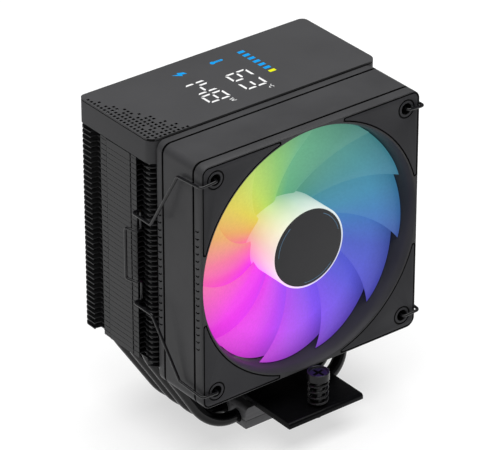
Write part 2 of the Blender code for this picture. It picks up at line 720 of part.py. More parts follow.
def fan_frame():
    frame = frame_body()
    lip = 0.6 * MM
    bore = [(0.0, -MM), (MOUTH_R, -MM), (MOUTH_R, lip), (BORE_R, MOUTH_DEPTH), (BORE_R, FAN_DEPTH + MM),
            (0.0, FAN_DEPTH + MM)]
    boolean(frame, cutter(fan_turned("bore", bore, 48)))
    for right, top in fan_hole_spots():
        pocket = slab(f"pocket_{right}_{top}", [pad_outline(right, top, 0.0)], -MM, PAD_DEPTH, upright=True)
        boolean(frame, cutter(pocket))
    boolean(frame, fan_holes())
    boolean(frame, struts(), "UNION")
    boolean(frame, motor_seat(), "UNION")
    finish(frame, (0.045, 0.045, 0.047), 0.4)


def corner_pads():
    names = {(-1, 1): "top_left", (1, 1): "top_right", (-1, -1): "bottom_left", (1, -1): "bottom_right"}
    for (right, top), name in names.items():
        hole = circle((right * FAN_HOLE, top * FAN_HOLE), SCREW_HOLE_R, 12)
        rings = [pad_outline(right, top, GAP), hole]
        pad = slab(f"corner_pad_{name}", rings, 0.0, PAD_DEPTH - GAP, upright=True)
        finish(pad, (0.05, 0.05, 0.05), 0.6)


# ---------------------------------------------------------------- rotor and motor

def blade_point(radial, chord, root_angle):
    """A point of a blade's middle surface: radial 0 to 1 outwards, chord 0 to 1 from front to rear."""
    root = HUB_R - 0.6 * MM
    radius = root + (BLADE_R - root) * radial
    front = TIP_FRONT + (ROOT_FRONT - TIP_FRONT) * (1.0 - radial) ** 1.3
    rear = BLADE_REAR - 2.0 * MM * radial
    span = ROOT_SPAN + (TIP_SPAN - ROOT_SPAN) * radial
    angle = root_angle + span * (chord - 0.5) - BLADE_SKEW * radial ** 1.3
    depth = front + (rear - front) * chord ** BLADE_CAMBER
    return (radius * math.cos(angle), radius * math.sin(angle), -depth)


def blades():
    across, along = 3, 5
    shape = bmesh.new()
    for index in range(BLADES):
        made = bmesh.ops.create_grid(shape, x_segments=across, y_segments=along, size=0.5)
        for vert in made["verts"]:
            radial, chord = vert.co.x + 0.5, vert.co.y + 0.5
            vert.co = blade_point(radial, chord, 2 * math.pi * index / BLADES)
    obj = mesh_object("blades", shape)
    obj.matrix_world = fan_place()
    skin = obj.modifiers.new("skin", "SOLIDIFY")
    skin.thickness = BLADE_THICK
    skin.offset = 0.0
    return cutter(obj)


def fan_rotor():
    """The hub, open at the rear, with the blades and the boss that grips the shaft."""
    wall = 1.4 * MM
    floor = HUB_FRONT + MM                      # the cap lies in a recess of the hub's front
    inside = floor + wall
    boss, boss_rear, bore_front = 3.4 * MM, 9.0 * MM, inside + GAP
    bore, recess = SHAFT_R + GAP, CAP_R + 0.4 * MM
    profile = [(0.0, floor), (recess, floor), (recess, HUB_FRONT), (HUB_R, HUB_FRONT),
               (HUB_R, HUB_REAR), (HUB_R - wall, HUB_REAR), (HUB_R - wall, inside), (boss, inside),
               (boss, boss_rear), (bore, boss_rear), (bore, bore_front), (0.0, bore_front)]
    rotor = fan_turned("fan_rotor", profile, 27)
    boolean(rotor, blades(), "UNION")
    finish(rotor, (0.7, 0.72, 0.75), 0.35)


def hub_cap():
    chamfer = 0.4 * MM
    rear = HUB_FRONT + 0.7 * MM
    front = rear - MM
    profile = [(0.0, front), (CAP_R - chamfer, front), (CAP_R, front + chamfer), (CAP_R, rear), (0.0, rear)]
    finish(fan_turned("hub_cap", profile, 32), (0.06, 0.06, 0.062), 0.4)


def ring(name, radii, depths, steps):
    """A plain ring about the fan's axis, given its inner and outer radius and its front and rear depth."""
    (inner, outer), (front, rear) = radii, depths
    profile = [(outer, front), (outer, rear), (inner, rear), (inner, front)]
    return fan_turned(name, profile, steps, closed=True)


def motor_rotating_parts():
    """A steel cup in the hub with the magnet ring inside it, and the shaft with its clip."""
    boss, outer, sheet = 3.8 * MM, 17.7 * MM, 0.85 * MM
    front, rear = 4.9 * MM, 23.5 * MM
    cup = [(boss, front), (outer, front), (outer, rear), (outer - sheet, rear),
           (outer - sheet, front + sheet), (boss, front + sheet)]
    finish(fan_turned("rotor_yoke", cup, 24, closed=True), (0.45, 0.45, 0.46), 0.35, 1.0)
    magnet = ring("magnet_ring", (15.2 * MM, outer - sheet - GAP), (8.0 * MM, 21.0 * MM), 24)
    finish(magnet, (0.08, 0.08, 0.085), 0.6)
    tip, end, neck = 5.2 * MM, 27.6 * MM, 1.1 * MM
    groove = (26.2 * MM, 26.9 * MM)
    shaft = [(0.0, tip), (SHAFT_R, tip), (SHAFT_R, groove[0]), (neck, groove[0]), (neck, groove[1]),
             (SHAFT_R, groove[1]), (SHAFT_R, end), (0.0, end)]
    finish(fan_turned("fan_shaft", shaft, 14), (0.6, 0.6, 0.6), 0.2, 1.0)
    clip = ring("shaft_clip", (neck + 0.2 * MM, 2.8 * MM), (26.35 * MM, 26.75 * MM), 14)
    finish(clip, (0.75, 0.75, 0.7), 0.5)


def stator_outline():
    """Narrow arms that end in wide shoes, round a ring."""
    body, arm, shoe_in, shoe_out = 7.0 * MM, 1.8 * MM, 12.3 * MM, 14.6 * MM
    shoe = 34.0
    root = math.degrees(math.asin(arm / body))
    neck = math.degrees(math.asin(arm / shoe_in))
    points = []
    for pole in range(POLES):
        middle = pole * 360.0 / POLES
        points += [polar(body, middle - root), polar(shoe_in, middle - neck), polar(shoe_in, middle - shoe)]
        points += arc((0.0, 0.0), shoe_out, middle - shoe, middle + shoe, 4)
        points += [polar(shoe_in, middle + shoe), polar(shoe_in, middle + neck), polar(body, middle + root)]
    return points


def coil(index, front, rear):
    """A winding round one stator arm: a block with the arm's opening through it."""
    around = (Matrix.Translation((0.0, FAN_FRONT, FAN_Z))
              @ Matrix.Rotation(math.radians(index * 360.0 / POLES), 4, "Y"))
    inner, outer, half = 7.5 * MM, 10.8 * MM, 4.0 * MM
    wall = 1.85 * MM
    turns = boxes(f"stator_coil_{index + 1}", [((inner, front - wall, -half), (outer, rear + wall, half))])
    opening = half - wall
    space = boxes(f"coil_opening_{index + 1}", [((inner - MM, front, -opening), (outer + MM, rear, opening))])
    turns.matrix_world = around
    space.matrix_world = around
    boolean(turns, cutter(space))
    finish(turns, (0.5, 0.2, 0.08), 0.4, 0.8)


def motor_fixed_parts():
    """The bearing sleeve with the stator round it, and the two ring-shaped boards behind the motor."""
    sleeve = ring("bearing_sleeve", (SLEEVE_IN, SLEEVE_OUT), (12.5 * MM, 26.0 * MM), 16)
    finish(sleeve, (0.55, 0.42, 0.2), 0.35, 1.0)
    front, rear, clearance = 10.5 * MM, 19.5 * MM, 0.4 * MM
    centre = circle((0.0, 0.0), 5.65 * MM, 16)
    core = slab("stator_core", [stator_outline(), centre], front, rear, upright=True)
    finish(core, (0.3, 0.3, 0.32), 0.45, 0.9)
    for index in range(POLES):
        coil(index, front - clearance, rear + clearance)
    boards = (25.6 * MM, 26.6 * MM)
    finish(ring("motor_board", (6.0 * MM, 16.0 * MM), boards, 20), (0.01, 0.05, 0.02), 0.4)
    finish(ring("led_board", (16.6 * MM, 20.0 * MM), boards, 24), (0.75, 0.75, 0.75), 0.4)


# ---------------------------------------------------------------- fan clips

def wire_clips():
    """From the fan's upper hole back to a hook in the stack's recess, and forwards to its lower hole."""
    clearance = WIRE_R + 2 * GAP
    face = FAN_FRONT - clearance
    side = -FAN_HALF - clearance
    out = -STACK_HALF - 3.1 * MM
    hook = -STACK_HALF + 1.2 * MM
    bow, knee, pull = FAN_FRONT + 14.5 * MM, -10.7 * MM, 8.2 * MM
    high, low = 22.5 * MM, 12.8 * MM            # heights above the fan's axis of the two bends at the hook
    upper = [(-FAN_HOLE, FAN_FRONT + 1.7 * MM, FAN_HOLE), (-FAN_HOLE, face, FAN_HOLE),
             (side, face, FAN_HOLE - 0.5 * MM), (side - 0.4 * MM, bow, 51.0 * MM),
             (out, knee, high), (out, HOOK_Y, high), (hook, HOOK_Y, high),
             (hook, HOOK_Y, low), (out + 1.6 * MM, HOOK_Y, low), (out, pull, low)]
    route = upper + [(x, y, -z) for x, y, z in reversed(upper)]
    for flip, name in ((1, "left"), (-1, "right")):
        bent = rounded_route([(flip * x, y, FAN_Z + z) for x, y, z in route], WIRE_BEND, 1)
        finish(tube(f"fan_clip_{name}", bent, WIRE_R, 1), (0.02, 0.02, 0.02), 0.3, 0.9, 70.0)


def build():
    clear_scene()
    grooves, holes = pipe_grooves(), bolt_holes()
    cold_plate(grooves)
    base_block(grooves, holes)
    heat_pipes()
    crossbar(holes)
    crossbar_bolts()
    for name, y in (("front", -SCREW_Y), ("rear", SCREW_Y)):
        spring_screw(name, y)
        screw_spring(name, y)
        screw_clip(name, y)
    fin_stack()
    top_cover()
    cover_tray()
    display_board()
    board_screws()
    board_components()
    light_guide()
    fan_frame()
    corner_pads()
    fan_rotor()
    hub_cap()
    motor_rotating_parts()
    motor_fixed_parts()
    wire_clips()


build()
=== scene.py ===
"""The looks of a tower CPU cooler with a lit fan and a display in its top cover.

Everything is in metres in the frame of the CAD model: the fan faces -Y, Z is up, and the cold plate
stands on z = 0.
"""

import math

import bmesh
import bpy
from mathutils import Matrix, Vector


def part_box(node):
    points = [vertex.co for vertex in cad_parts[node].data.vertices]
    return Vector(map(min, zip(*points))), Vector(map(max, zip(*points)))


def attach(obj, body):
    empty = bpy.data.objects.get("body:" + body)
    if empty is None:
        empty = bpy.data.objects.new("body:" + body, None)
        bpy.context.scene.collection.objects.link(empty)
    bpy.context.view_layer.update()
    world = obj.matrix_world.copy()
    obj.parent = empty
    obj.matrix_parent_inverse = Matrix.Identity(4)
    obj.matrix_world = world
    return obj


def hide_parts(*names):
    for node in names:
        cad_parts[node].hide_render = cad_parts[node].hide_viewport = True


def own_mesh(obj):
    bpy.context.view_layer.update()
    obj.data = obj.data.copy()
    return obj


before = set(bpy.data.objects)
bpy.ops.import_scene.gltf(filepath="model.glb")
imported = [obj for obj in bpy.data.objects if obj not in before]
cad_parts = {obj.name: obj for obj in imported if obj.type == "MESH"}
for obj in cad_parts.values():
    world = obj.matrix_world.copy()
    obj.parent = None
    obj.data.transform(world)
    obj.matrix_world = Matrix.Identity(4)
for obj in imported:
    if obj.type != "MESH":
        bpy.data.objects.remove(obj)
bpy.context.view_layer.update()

MM = 0.001
SLIVER = 0.001 * MM                             # edges shorter than this are merged away


def node_box(node):
    low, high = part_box(node)
    return Vector(low), Vector(high)


# ---------------- places, from the frame
FAN_LOW, FAN_HIGH = node_box("fan_frame")
FAN_HALF = (FAN_HIGH.x - FAN_LOW.x) / 2
FAN_DEPTH = FAN_HIGH.y - FAN_LOW.y
FAN_FRONT = FAN_LOW.y
FAN_Z = (FAN_LOW.z + FAN_HIGH.z) / 2
HOLE = 52.5 * MM                                # half the spacing of the fan's screw holes
HOLE_R = 2.75 * MM
FRAME_CORNER = 4.5 * MM
FRAME_GROOVES = (5.8, 27.5)                     # millimetres behind the fan's front face
POCKET_DEPTH = 1.2 * MM
TICK_DEPTH = 0.5 * MM
CORNERS = {"top_left": (-1, 1), "top_right": (1, 1), "bottom_left": (-1, -1), "bottom_right": (1, -1)}

STACK_LOW, STACK_HIGH = node_box("fin_stack")
SIDE = STACK_HIGH.x - 0.1 * MM                  # the fins' side edges lie just inside the folded tabs
FIN_BOTTOM = STACK_LOW.z
FINS = 40
FIN_PITCH = 2.56 * MM
FIN_THICK = 0.4 * MM
FIN_CORNER, FIN_TIP = 4.2 * MM, 3.2 * MM        # radii of a fin's front and rear corners
FIN_HOLE_R = 3.12 * MM
PIPE_R = 3.0 * MM
PIPE_GROOVE_R = 3.25 * MM
PIPE_X = 52.0 * MM                              # where the pipes' legs stand in the fins

PANEL_LOW, PANEL_HIGH = node_box("top_panel")
SKIRT_LOW, SKIRT_HIGH = node_box("cover_skirt")
BAR_LOW, BAR_HIGH = node_box("crossbar")
BLOCK_LOW, BLOCK_HIGH = node_box("base_block")
PLATE_LOW, PLATE_HIGH = node_box("cold_plate")
COVER_CORNER = 4.5 * MM
BOLT_HOLE_R = 1.9 * MM
SCREW_Y = 45.0 * MM                             # the spring screws' distance from the middle of the crossbar
BLADES = 11
BLADE_TIP = 57.0 * MM
HUB_R = 19.5 * MM
HUB_FRONT = 2.2 * MM
HUB_REAR = 25.0 * MM


# ---------------- camera and light
CAMERA_PLACE = (-0.90055, -1.15425, 0.91779)
CAMERA_AIM = Vector((0.534, 0.687, -0.493))
LIGHT_AIM = Vector((0.0, 0.0, 0.08))


# ---------------- mesh helpers

def new_object(name, data):
    obj = bpy.data.objects.new(name, data)
    bpy.context.scene.collection.objects.link(obj)
    return obj


def from_bmesh(name, shape):
    bmesh.ops.recalc_face_normals(shape, faces=shape.faces)
    mesh = bpy.data.meshes.new(name)
    shape.to_mesh(mesh)
    shape.free()
    return new_object(name, mesh)


def apply_modifiers(obj):
    """Replace the object's mesh with what its modifiers make of it."""
    bpy.context.view_layer.update()
    seen = obj.evaluated_get(bpy.context.evaluated_depsgraph_get())
    mesh = bpy.data.meshes.new_from_object(seen)
    obj.modifiers.clear()
    obj.data = mesh
    return obj


def edit(obj, change):
    """Let a function change the object's mesh in place."""
    shape = bmesh.new()
    shape.from_mesh(obj.data)
    change(shape)
    shape.to_mesh(obj.data)
    shape.free()


def boolean(obj, tool, operation="DIFFERENCE"):
    change = obj.modifiers.new("boolean", "BOOLEAN")
    change.operation = operation
    change.solver = "EXACT"
    change.object = tool
    apply_modifiers(obj)
    bpy.data.objects.remove(tool)
    edit(obj, lambda shape: bmesh.ops.dissolve_degenerate(shape, dist=SLIVER, edges=shape.edges))
    if not obj.data.polygons:
        raise ValueError(f"nothing is left of {obj.name}")


def bevel(obj, width, segments=2, angle=40.0):
    change = obj.modifiers.new("bevel", "BEVEL")
    change.width = width
    change.segments = segments
    change.limit_method = "ANGLE"
    change.angle_limit = math.radians(angle)
    change.harden_normals = False
    return apply_modifiers(obj)


def smooth(obj, angle):
    obj.data.shade_smooth()
    obj.data.set_sharp_from_angle(angle=math.radians(angle))


def join(name, objects):
    """One object holding the meshes of several, whose own objects are removed."""
    shape = bmesh.new()
    for obj in objects:
        mesh = obj.data.copy()
        mesh.transform(obj.matrix_world)
        shape.from_mesh(mesh)
        bpy.data.meshes.remove(mesh)
        bpy.data.objects.remove(obj)
    mesh = bpy.data.meshes.new(name)
    shape.to_mesh(mesh)
    shape.free()
    return new_object(name, mesh)


def piece(obj, body, look, replaces=(), angle=32.0):
    """Finish a piece: its material, its shading, the body that it rides on and the nodes it replaces."""
    obj.data.materials.clear()
    obj.data.materials.append(look)
    smooth(obj, angle)
    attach(obj, body)
    if replaces:
        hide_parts(*replaces)


def arc(centre, radius, start, end, steps):
    """Points on an arc, both ends included; angles in degrees."""
    points = []
    for step in range(steps + 1):
        angle = math.radians(start + (end - start) * step / steps)
        points.append((centre[0] + radius * math.cos(angle), centre[1] + radius * math.sin(angle)))
    return points


def circle(centre, radius, sides):
    return arc(centre, radius, 0.0, 360.0 - 360.0 / sides, sides - 1)


def rounded_rectangle(low, high, radii, steps):
    """Corner radii run from the low-x, low-y corner anticlockwise."""
    corners = ((low[0], low[1], 180), (high[0], low[1], 270), (high[0], high[1], 0), (low[0], high[1], 90))
    points = []
    for (x, y, start), radius in zip(corners, radii):
        inward = (radius if x == low[0] else -radius, radius if y == low[1] else -radius)
        points += arc((x + inward[0], y + inward[1]), radius, start, start + 90, steps)
    return points


def fan_place():
    """Stands a shape drawn in x, y with z forwards on the fan: y becomes height above the fan's axis."""
    return Matrix.Translation((0.0, FAN_FRONT, FAN_Z)) @ Matrix.Rotation(math.radians(90.0), 4, "X")


def slab(name, rings, low, high, place=None):
    """A flat outline with holes, from height low to height high."""
    curve = bpy.data.curves.new(name, "CURVE")
    curve.dimensions = "2D"
    curve.fill_mode = "BOTH"
    curve.extrude = (high - low) / 2
    for ring in rings:
        spline = curve.splines.new("POLY")
        spline.points.add(len(ring) - 1)
        for point, (x, y) in zip(spline.points, ring):
            point.co = (x, y, 0.0, 1.0)
        spline.use_cyclic_u = True
    drawn = new_object(name, curve)
    bpy.context.view_layer.update()
    mesh = bpy.data.meshes.new_from_object(drawn.evaluated_get(bpy.context.evaluated_depsgraph_get()))
    bpy.data.objects.remove(drawn)
    shape = bmesh.new()
    shape.from_mesh(mesh)
    bpy.data.meshes.remove(mesh)
    bmesh.ops.remove_doubles(shape, verts=shape.verts, dist=SLIVER)
    bmesh.ops.translate(shape, verts=shape.verts, vec=(0.0, 0.0, (low + high) / 2))
    if place:
        bmesh.ops.transform(shape, verts=shape.verts, matrix=place)
    return from_bmesh(name, shape)


def fan_slab(name, rings, front, rear):
    """A flat outline seen from the fan's front, between two depths behind the front face."""
    return slab(name, rings, -rear, -front, fan_place())


def boxes(name, corners, place=None):
    shape = bmesh.new()
    for low, high in corners:
        low, high = Vector(low), Vector(high)
        spot = Matrix.Translation((low + high) / 2) @ Matrix.Diagonal((*(high - low), 1.0))
        bmesh.ops.create_cube(shape, size=1.0, matrix=(place @ spot) if place else spot)
    return from_bmesh(name, shape)


def cylinders(name, ends, radius, sides):
    shape = bmesh.new()
    for start, end in ends:
        start, end = Vector(start), Vector(end)
        turn = (end - start).to_track_quat("Z", "Y").to_matrix().to_4x4()
        bmesh.ops.create_cone(shape, cap_ends=True, segments=sides, radius1=radius, radius2=radius,
                              depth=(end - start).length, matrix=Matrix.Translation((start + end) / 2) @ turn)
    return from_bmesh(name, shape)


def lathe(name, profile, sides, place):
    """Turn a closed outline of (radius, height) points about Z; points on the axis close the solid."""
    shape = bmesh.new()
    rings = []
    for radius, height in profile:
        if radius < 1e-9:
            rings.append([shape.verts.new((0.0, 0.0, height))])
            continue
        ring = [shape.verts.new((radius * math.cos(a), radius * math.sin(a), height))
                for a in (2 * math.pi * step / sides for step in range(sides))]
        rings.append(ring)
    pairs = list(zip(rings, rings[1:]))
    if len(rings[0]) > 1 and len(rings[-1]) > 1:
        pairs.append((rings[-1], rings[0]))
    for first, second in pairs:
        for step in range(sides):
            after = (step + 1) % sides
            corner = [first[step % len(first)], first[after % len(first)],
                      second[after % len(second)], second[step % len(second)]]
            around = list(dict.fromkeys(corner))
            if len(around) > 2:
                shape.faces.new(around)
    bmesh.ops.transform(shape, verts=shape.verts, matrix=place)
    return from_bmesh(name, shape)


def fan_lathe(name, profile, sides):
    """Turn a profile of (radius, depth behind the fan's front face), in millimetres, about the fan's axis."""
    return lathe(name, [(radius * MM, -depth * MM) for radius, depth in profile], sides, fan_place())


def skin(shape, rings):
    """Faces between neighbouring rings of the same number of points, and one over each end."""
    count = len(rings[0])
    for first, second in zip(rings, rings[1:]):
        for step in range(count):
            after = (step + 1) % count
            shape.faces.new((first[step], first[after], second[after], second[step]))
    shape.faces.new(rings[0])
    shape.faces.new(rings[-1])


def loft(name, rings, place=None):
    """A closed solid through rings of the same number of points."""
    shape = bmesh.new()
    skin(shape, [[shape.verts.new(point) for point in ring] for ring in rings])
    if place:
        bmesh.ops.transform(shape, verts=shape.verts, matrix=place)
    return from_bmesh(name, shape)


def rounded_route(corners, radius, steps):
    """A route through the corners, each one rounded with an arc as wide as it has room for."""
    corners = [Vector(corner) for corner in corners]
    route = [corners[0]]
    for before, corner, after in zip(corners, corners[1:], corners[2:]):
        back, ahead = (before - corner), (after - corner)
        half = back.angle(ahead) / 2
        reach = min(radius / math.tan(half), 0.45 * back.length, 0.45 * ahead.length)
        bend = reach * math.tan(half)
        back.normalize()
        ahead.normalize()
        centre = corner + (back + ahead).normalized() * bend / math.sin(half)
        start, end = corner + back * reach - centre, corner + ahead * reach - centre
        turn = start.angle(end)
        for step in range(steps + 1):
            part = step / steps
            spoke = start * math.sin((1 - part) * turn) + end * math.sin(part * turn)
            route.append(centre + spoke / math.sin(turn))
    route.append(corners[-1])
    return route


def tube(name, route, radius, sides):
    """A round tube along a route, with its ends slightly domed."""
    route = [Vector(point) for point in route]
    dome = 0.35 * radius
    shape = bmesh.new()
    rings = []
    normal = None
    for index, point in enumerate(route):
        before = route[max(index - 1, 0)]
        after = route[min(index + 1, len(route) - 1)]
        along = (after - before).normalized()
        if normal is None:
            normal = along.orthogonal().normalized()
        normal = (normal - along * normal.dot(along)).normalized()
        other = along.cross(normal)
        sizes = [(0.0, 1.0)]
        if index == 0:
            sizes = [(-dome, 0.55), (-0.4 * dome, 0.88), (0.0, 1.0)]
        elif index == len(route) - 1:
            sizes = [(0.0, 1.0), (0.4 * dome, 0.88), (dome, 0.55)]
        for shift, scale in sizes:
            ring = []
            for step in range(sides):
                angle = 2 * math.pi * step / sides
                out = normal * math.cos(angle) + other * math.sin(angle)
                ring.append(shape.verts.new(point + along * shift + out * radius * scale))
            rings.append(ring)
    skin(shape, rings)
    return from_bmesh(name, shape)


# ---------------- materials

def linear(colour):
    """A colour given in display values, 0 to 255, as linear light."""
    made = []
    for value in colour:
        value /= 255.0
        made.append(value / 12.92 if value <= 0.04045 else ((value + 0.055) / 1.055) ** 2.4)
    return made


class Look:
    """A material with a few short ways of adding and joining nodes."""

    def __init__(self, name, roughness=0.5, metallic=0.0, specular=0.5):
        self.material = bpy.data.materials.new(name)
        self.material.use_nodes = True
        self.tree = self.material.node_tree
        self.shader = self.tree.nodes["Principled BSDF"]
        self.shader.inputs["Roughness"].default_value = roughness
        self.shader.inputs["Metallic"].default_value = metallic
        self.shader.inputs["Specular IOR Level"].default_value = specular
        self.place = self.node("TexCoord", {}, "Object")

    def link(self, source, target):
        self.tree.links.new(source, target)

    def node(self, kind, inputs, output=0, **settings):
        """Make a node, feed its inputs with other nodes' outputs, numbers or colours, and give its output."""
        made = self.tree.nodes.new("ShaderNode" + kind)
        for key, value in settings.items():
            setattr(made, key, value)
        for key, value in inputs.items():
            target = made.inputs[key]
            if hasattr(value, "is_linked"):
                self.link(value, target)
            elif isinstance(value, (int, float)):
                target.default_value = value
            else:
                target.default_value = (*value, 1.0)[:len(target.default_value)]
        return made.outputs[output]

    def math(self, operation, *values):
        return self.node("Math", dict(enumerate(values)), operation=operation)

    def shared(self, first, second, share):
        """A share of the first value and the rest of the second."""
        return self.math("ADD", self.math("MULTIPLY", first, share), self.math("MULTIPLY", second, 1 - share))

    def along(self, axis):
        """How far the place lies along X, Y or Z."""
        return self.node("SeparateXYZ", {0: self.place}, axis)

    def stretched(self, scale):
        return self.node("Mapping", {"Vector": self.place, "Scale": scale})

    def noise(self, scale, detail=3.0, rough=0.55, vector=None):
        inputs = {"Vector": vector or self.place, "Scale": scale, "Detail": detail, "Roughness": rough}
        return self.node("TexNoise", inputs, "Fac")

    def span(self, value, low, high, source_low=0.3, source_high=0.7):
        inputs = {"Value": value, "To Min": low, "To Max": high}
        inputs.update({"From Min": source_low, "From Max": source_high})
        return self.node("MapRange", inputs, "Result")

    def ramp(self, value, stops):
        colour = self.node("ValToRGB", {"Fac": value}, "Color")
        elements = colour.node.color_ramp.elements
        while len(elements) < len(stops):
            elements.new(1.0)
        for element, (position, shade) in zip(elements, stops):
            element.position = position
            element.color = (*shade, 1.0)
        return colour

    def mix(self, factor, first, second):
        return self.node("Mix", {0: factor, 6: first, 7: second}, 2, data_type="RGBA")

    def colour(self, value):
        self.link(value, self.shader.inputs["Base Color"])

    def roughness(self, value):
        self.link(value, self.shader.inputs["Roughness"])

    def bump(self, height, strength, distance):
        inputs = {"Height": height, "Strength": strength, "Distance": distance}
        self.link(self.node("Bump", inputs), self.shader.inputs["Normal"])


def shades(base, spread):
    """The base colour a little darker and a little lighter."""
    return [value * (1 - spread) for value in base], [value * (1 + spread) for value in base]


def moulded(name, base, roughness, grain=1400.0, depth=0.00004, spread=0.12, specular=0.5):
    """Moulded plastic: a fine even grain, cloudy gloss and faint patches of rubbed colour."""
    look = Look(name, roughness, specular=specular)
    dark, light = shades(base, spread)
    cloud = look.noise(38.0, 4.0)
    look.colour(look.ramp(cloud, [(0.32, dark), (0.7, light)]))
    fine = look.noise(grain, 2.0)
    look.roughness(look.span(look.shared(cloud, fine, 0.5), roughness - 0.07, roughness + 0.08))
    look.bump(fine, 0.35, depth)
    return look.material


def brushed(name, base, roughness, direction, metallic=1.0, specular=0.5):
    """Metal or coated sheet with fine streaks along one direction."""
    look = Look(name, roughness, metallic, specular)
    scale = [60.0 if axis == direction else 2600.0 for axis in "xyz"]
    streaks = look.noise(1.0, 3.0, 0.6, look.stretched(scale))
    dark, light = shades(base, 0.15)
    tone = look.shared(streaks, look.noise(55.0, 3.0), 0.6)
    look.colour(look.ramp(tone, [(0.35, dark), (0.65, light)]))
    look.roughness(look.span(tone, roughness - 0.06, roughness + 0.1))
    look.bump(streaks, 0.2, 0.00003)
    return look.material


def coated(name, base, roughness, specular):
    """Black plating or paint: a soft orange-peel, fine specks and worn gloss."""
    look = Look(name, roughness, specular=specular)
    peel = look.noise(420.0, 2.0)
    speck = look.noise(2700.0, 1.0)
    dark, light = shades(base, 0.14)
    look.colour(look.ramp(speck, [(0.35, dark), (0.62, light)]))
    look.roughness(look.span(look.noise(70.0, 4.0), roughness - 0.06, roughness + 0.09))
    look.bump(look.math("ADD", peel, look.math("MULTIPLY", speck, 0.3)), 0.25, 0.00004)
    return look.material


# The fan's light, clockwise from the top as seen from the front
RAINBOW = (
    (0.00, (100, 172, 130)),
    (0.07, (84, 150, 130)),
    (0.14, (72, 142, 150)),
    (0.21, (68, 138, 172)),
    (0.26, (70, 122, 186)),
    (0.31, (78, 96, 192)),
    (0.38, (94, 90, 214)),
    (0.45, (134, 88, 238)),
    (0.52, (182, 82, 240)),
    (0.59, (226, 68, 236)),
    (0.66, (240, 64, 230)),
    (0.71, (240, 88, 194)),
    (0.76, (240, 118, 156)),
    (0.81, (228, 168, 96)),
    (0.86, (218, 204, 78)),
    (0.91, (186, 214, 96)),
    (0.96, (134, 192, 108)),
    (1.00, (100, 172, 130)),
)


def rainbow(look):
    """The colour by the angle round the fan's axis, the distance from it as a share of the blades', and
    the angle as a share of a turn."""
    across = look.along("X")
    height = look.math("SUBTRACT", look.along("Z"), FAN_Z)
    turn = look.math("DIVIDE", look.math("ARCTAN2", across, height), 2 * math.pi)
    around = look.math("FRACT", look.math("ADD", turn, 1.0))
    colour = look.ramp(around, [(position, linear(colour)) for position, colour in RAINBOW])
    squares = [look.math("MULTIPLY", value, value) for value in (across, height)]
    distance = look.math("SQRT", look.math("ADD", *squares))
    return colour, look.math("DIVIDE", distance, BLADE_TIP), around


def blade_look():
    """Frosted plastic, lit from the hub: the light thins out to the tips."""
    look = Look("frosted_blade", 0.42, specular=0.25)
    colour, reach, around = rainbow(look)
    frost = look.noise(900.0, 2.0)
    flow = look.noise(30.0, 3.0)
    pale = look.mix(look.span(flow, 0.0, 0.06), colour, linear((255, 255, 255)))
    look.colour(look.mix(look.span(frost, 0.16, 0.2), linear((0, 0, 0)), pale))
    look.link(colour, look.shader.inputs["Emission Color"])
    # How much the tips dim changes round the fan: most just right of the bottom, hardly at the left. The
    # thinning of the light to the tips is the fan's own; the change round the fan is painted shade.
    painted_shade_stops = ((0.0, 0.35), (0.25, 0.7), (0.45, 1.0), (0.6, 0.5), (0.75, 0.05), (1.0, 0.35))
    painted_tip_shade = look.ramp(around, [(position, (value,) * 3) for position, value in painted_shade_stops])
    tip = look.math("MULTIPLY", look.span(reach, 0.0, 0.55, 0.78, 1.0), painted_tip_shade)
    strength = look.math("MULTIPLY", look.math("SUBTRACT", 1.0, tip), look.span(frost, 0.87, 0.92))
    look.link(strength, look.shader.inputs["Emission Strength"])
    look.bump(look.math("ADD", look.math("MULTIPLY", frost, 0.2), flow), 0.12, 0.0002)
    return look.material


def hub_look():
    """The same light through the hub's thick wall: nearly white, with a tint that follows the fan's."""
    look = Look("glowing_hub", 0.35)
    colour, _, _ = rainbow(look)
    depth = look.span(look.along("Y"), 0.66, 0.05, FAN_FRONT + HUB_FRONT, FAN_FRONT + HUB_REAR)
    pale = look.mix(depth, colour, linear((255, 255, 255)))
    cloud = look.noise(60.0, 3.0)
    look.colour(look.mix(look.span(cloud, 0.1, 0.2), linear((64, 64, 64)), pale))
    look.link(pale, look.shader.inputs["Emission Color"])
    look.link(look.span(cloud, 0.86, 0.93), look.shader.inputs["Emission Strength"])
    look.bump(look.noise(800.0, 2.0), 0.15, 0.00003)
    return look.material


def lit(name, colour, strength):
    """A lit mark of the display: bright, with the soft mottling of a light guide."""
    look = Look(name, 0.5, specular=0.08)
    cloud = look.noise(700.0, 2.0)
    value = linear(colour)
    dark, light = shades(value, 0.05)
    shade = look.ramp(cloud, [(0.3, dark), (0.7, light)])
    look.colour(look.mix(0.04, linear((0, 0, 0)), shade))
    look.link(shade, look.shader.inputs["Emission Color"])
    look.link(look.span(cloud, strength * 0.95, strength * 1.03), look.shader.inputs["Emission Strength"])
    look.bump(cloud, 0.1, 0.00002)
    return look.material


def circuit_board(name, base, line):
    """Solder mask with the faint relief of tracks under it."""
    look = Look(name, 0.32)
    cells = look.node("TexVoronoi", {"Vector": look.place, "Scale": 320.0}, "Distance",
                      feature="DISTANCE_TO_EDGE")
    track = look.span(cells, 1.0, 0.0, 0.03, 0.09)
    look.colour(look.mix(track, base, line))
    look.roughness(look.span(look.noise(200.0), 0.26, 0.42))
    look.bump(track, 0.3, 0.00004)
    return look.material


def pale_floor():
    look = Look("pale_floor", 0.65, specular=0.1)
    look.colour(look.ramp(look.noise(6.0, 4.0), [(0.3, (0.34, 0.34, 0.34)), (0.7, (0.37, 0.37, 0.37))]))
    look.shader.inputs["Emission Color"].default_value = (1.0, 1.0, 1.0, 1.0)
    look.shader.inputs["Emission Strength"].default_value = 0.63
    look.bump(look.noise(300.0), 0.04, 0.0002)
    return look.material


def paint_shade_and_finish(obj, look, test):
    """Give a second look to the faces that a test picks: painted shade on the walls and floors of holes,
    grooves, pockets and gaps, and the cold plate's real ground underside.
    """
    obj.data.materials.append(look)
    for face in obj.data.polygons:
        if test(face.center, face.normal):
            face.material_index = len(obj.data.materials) - 1


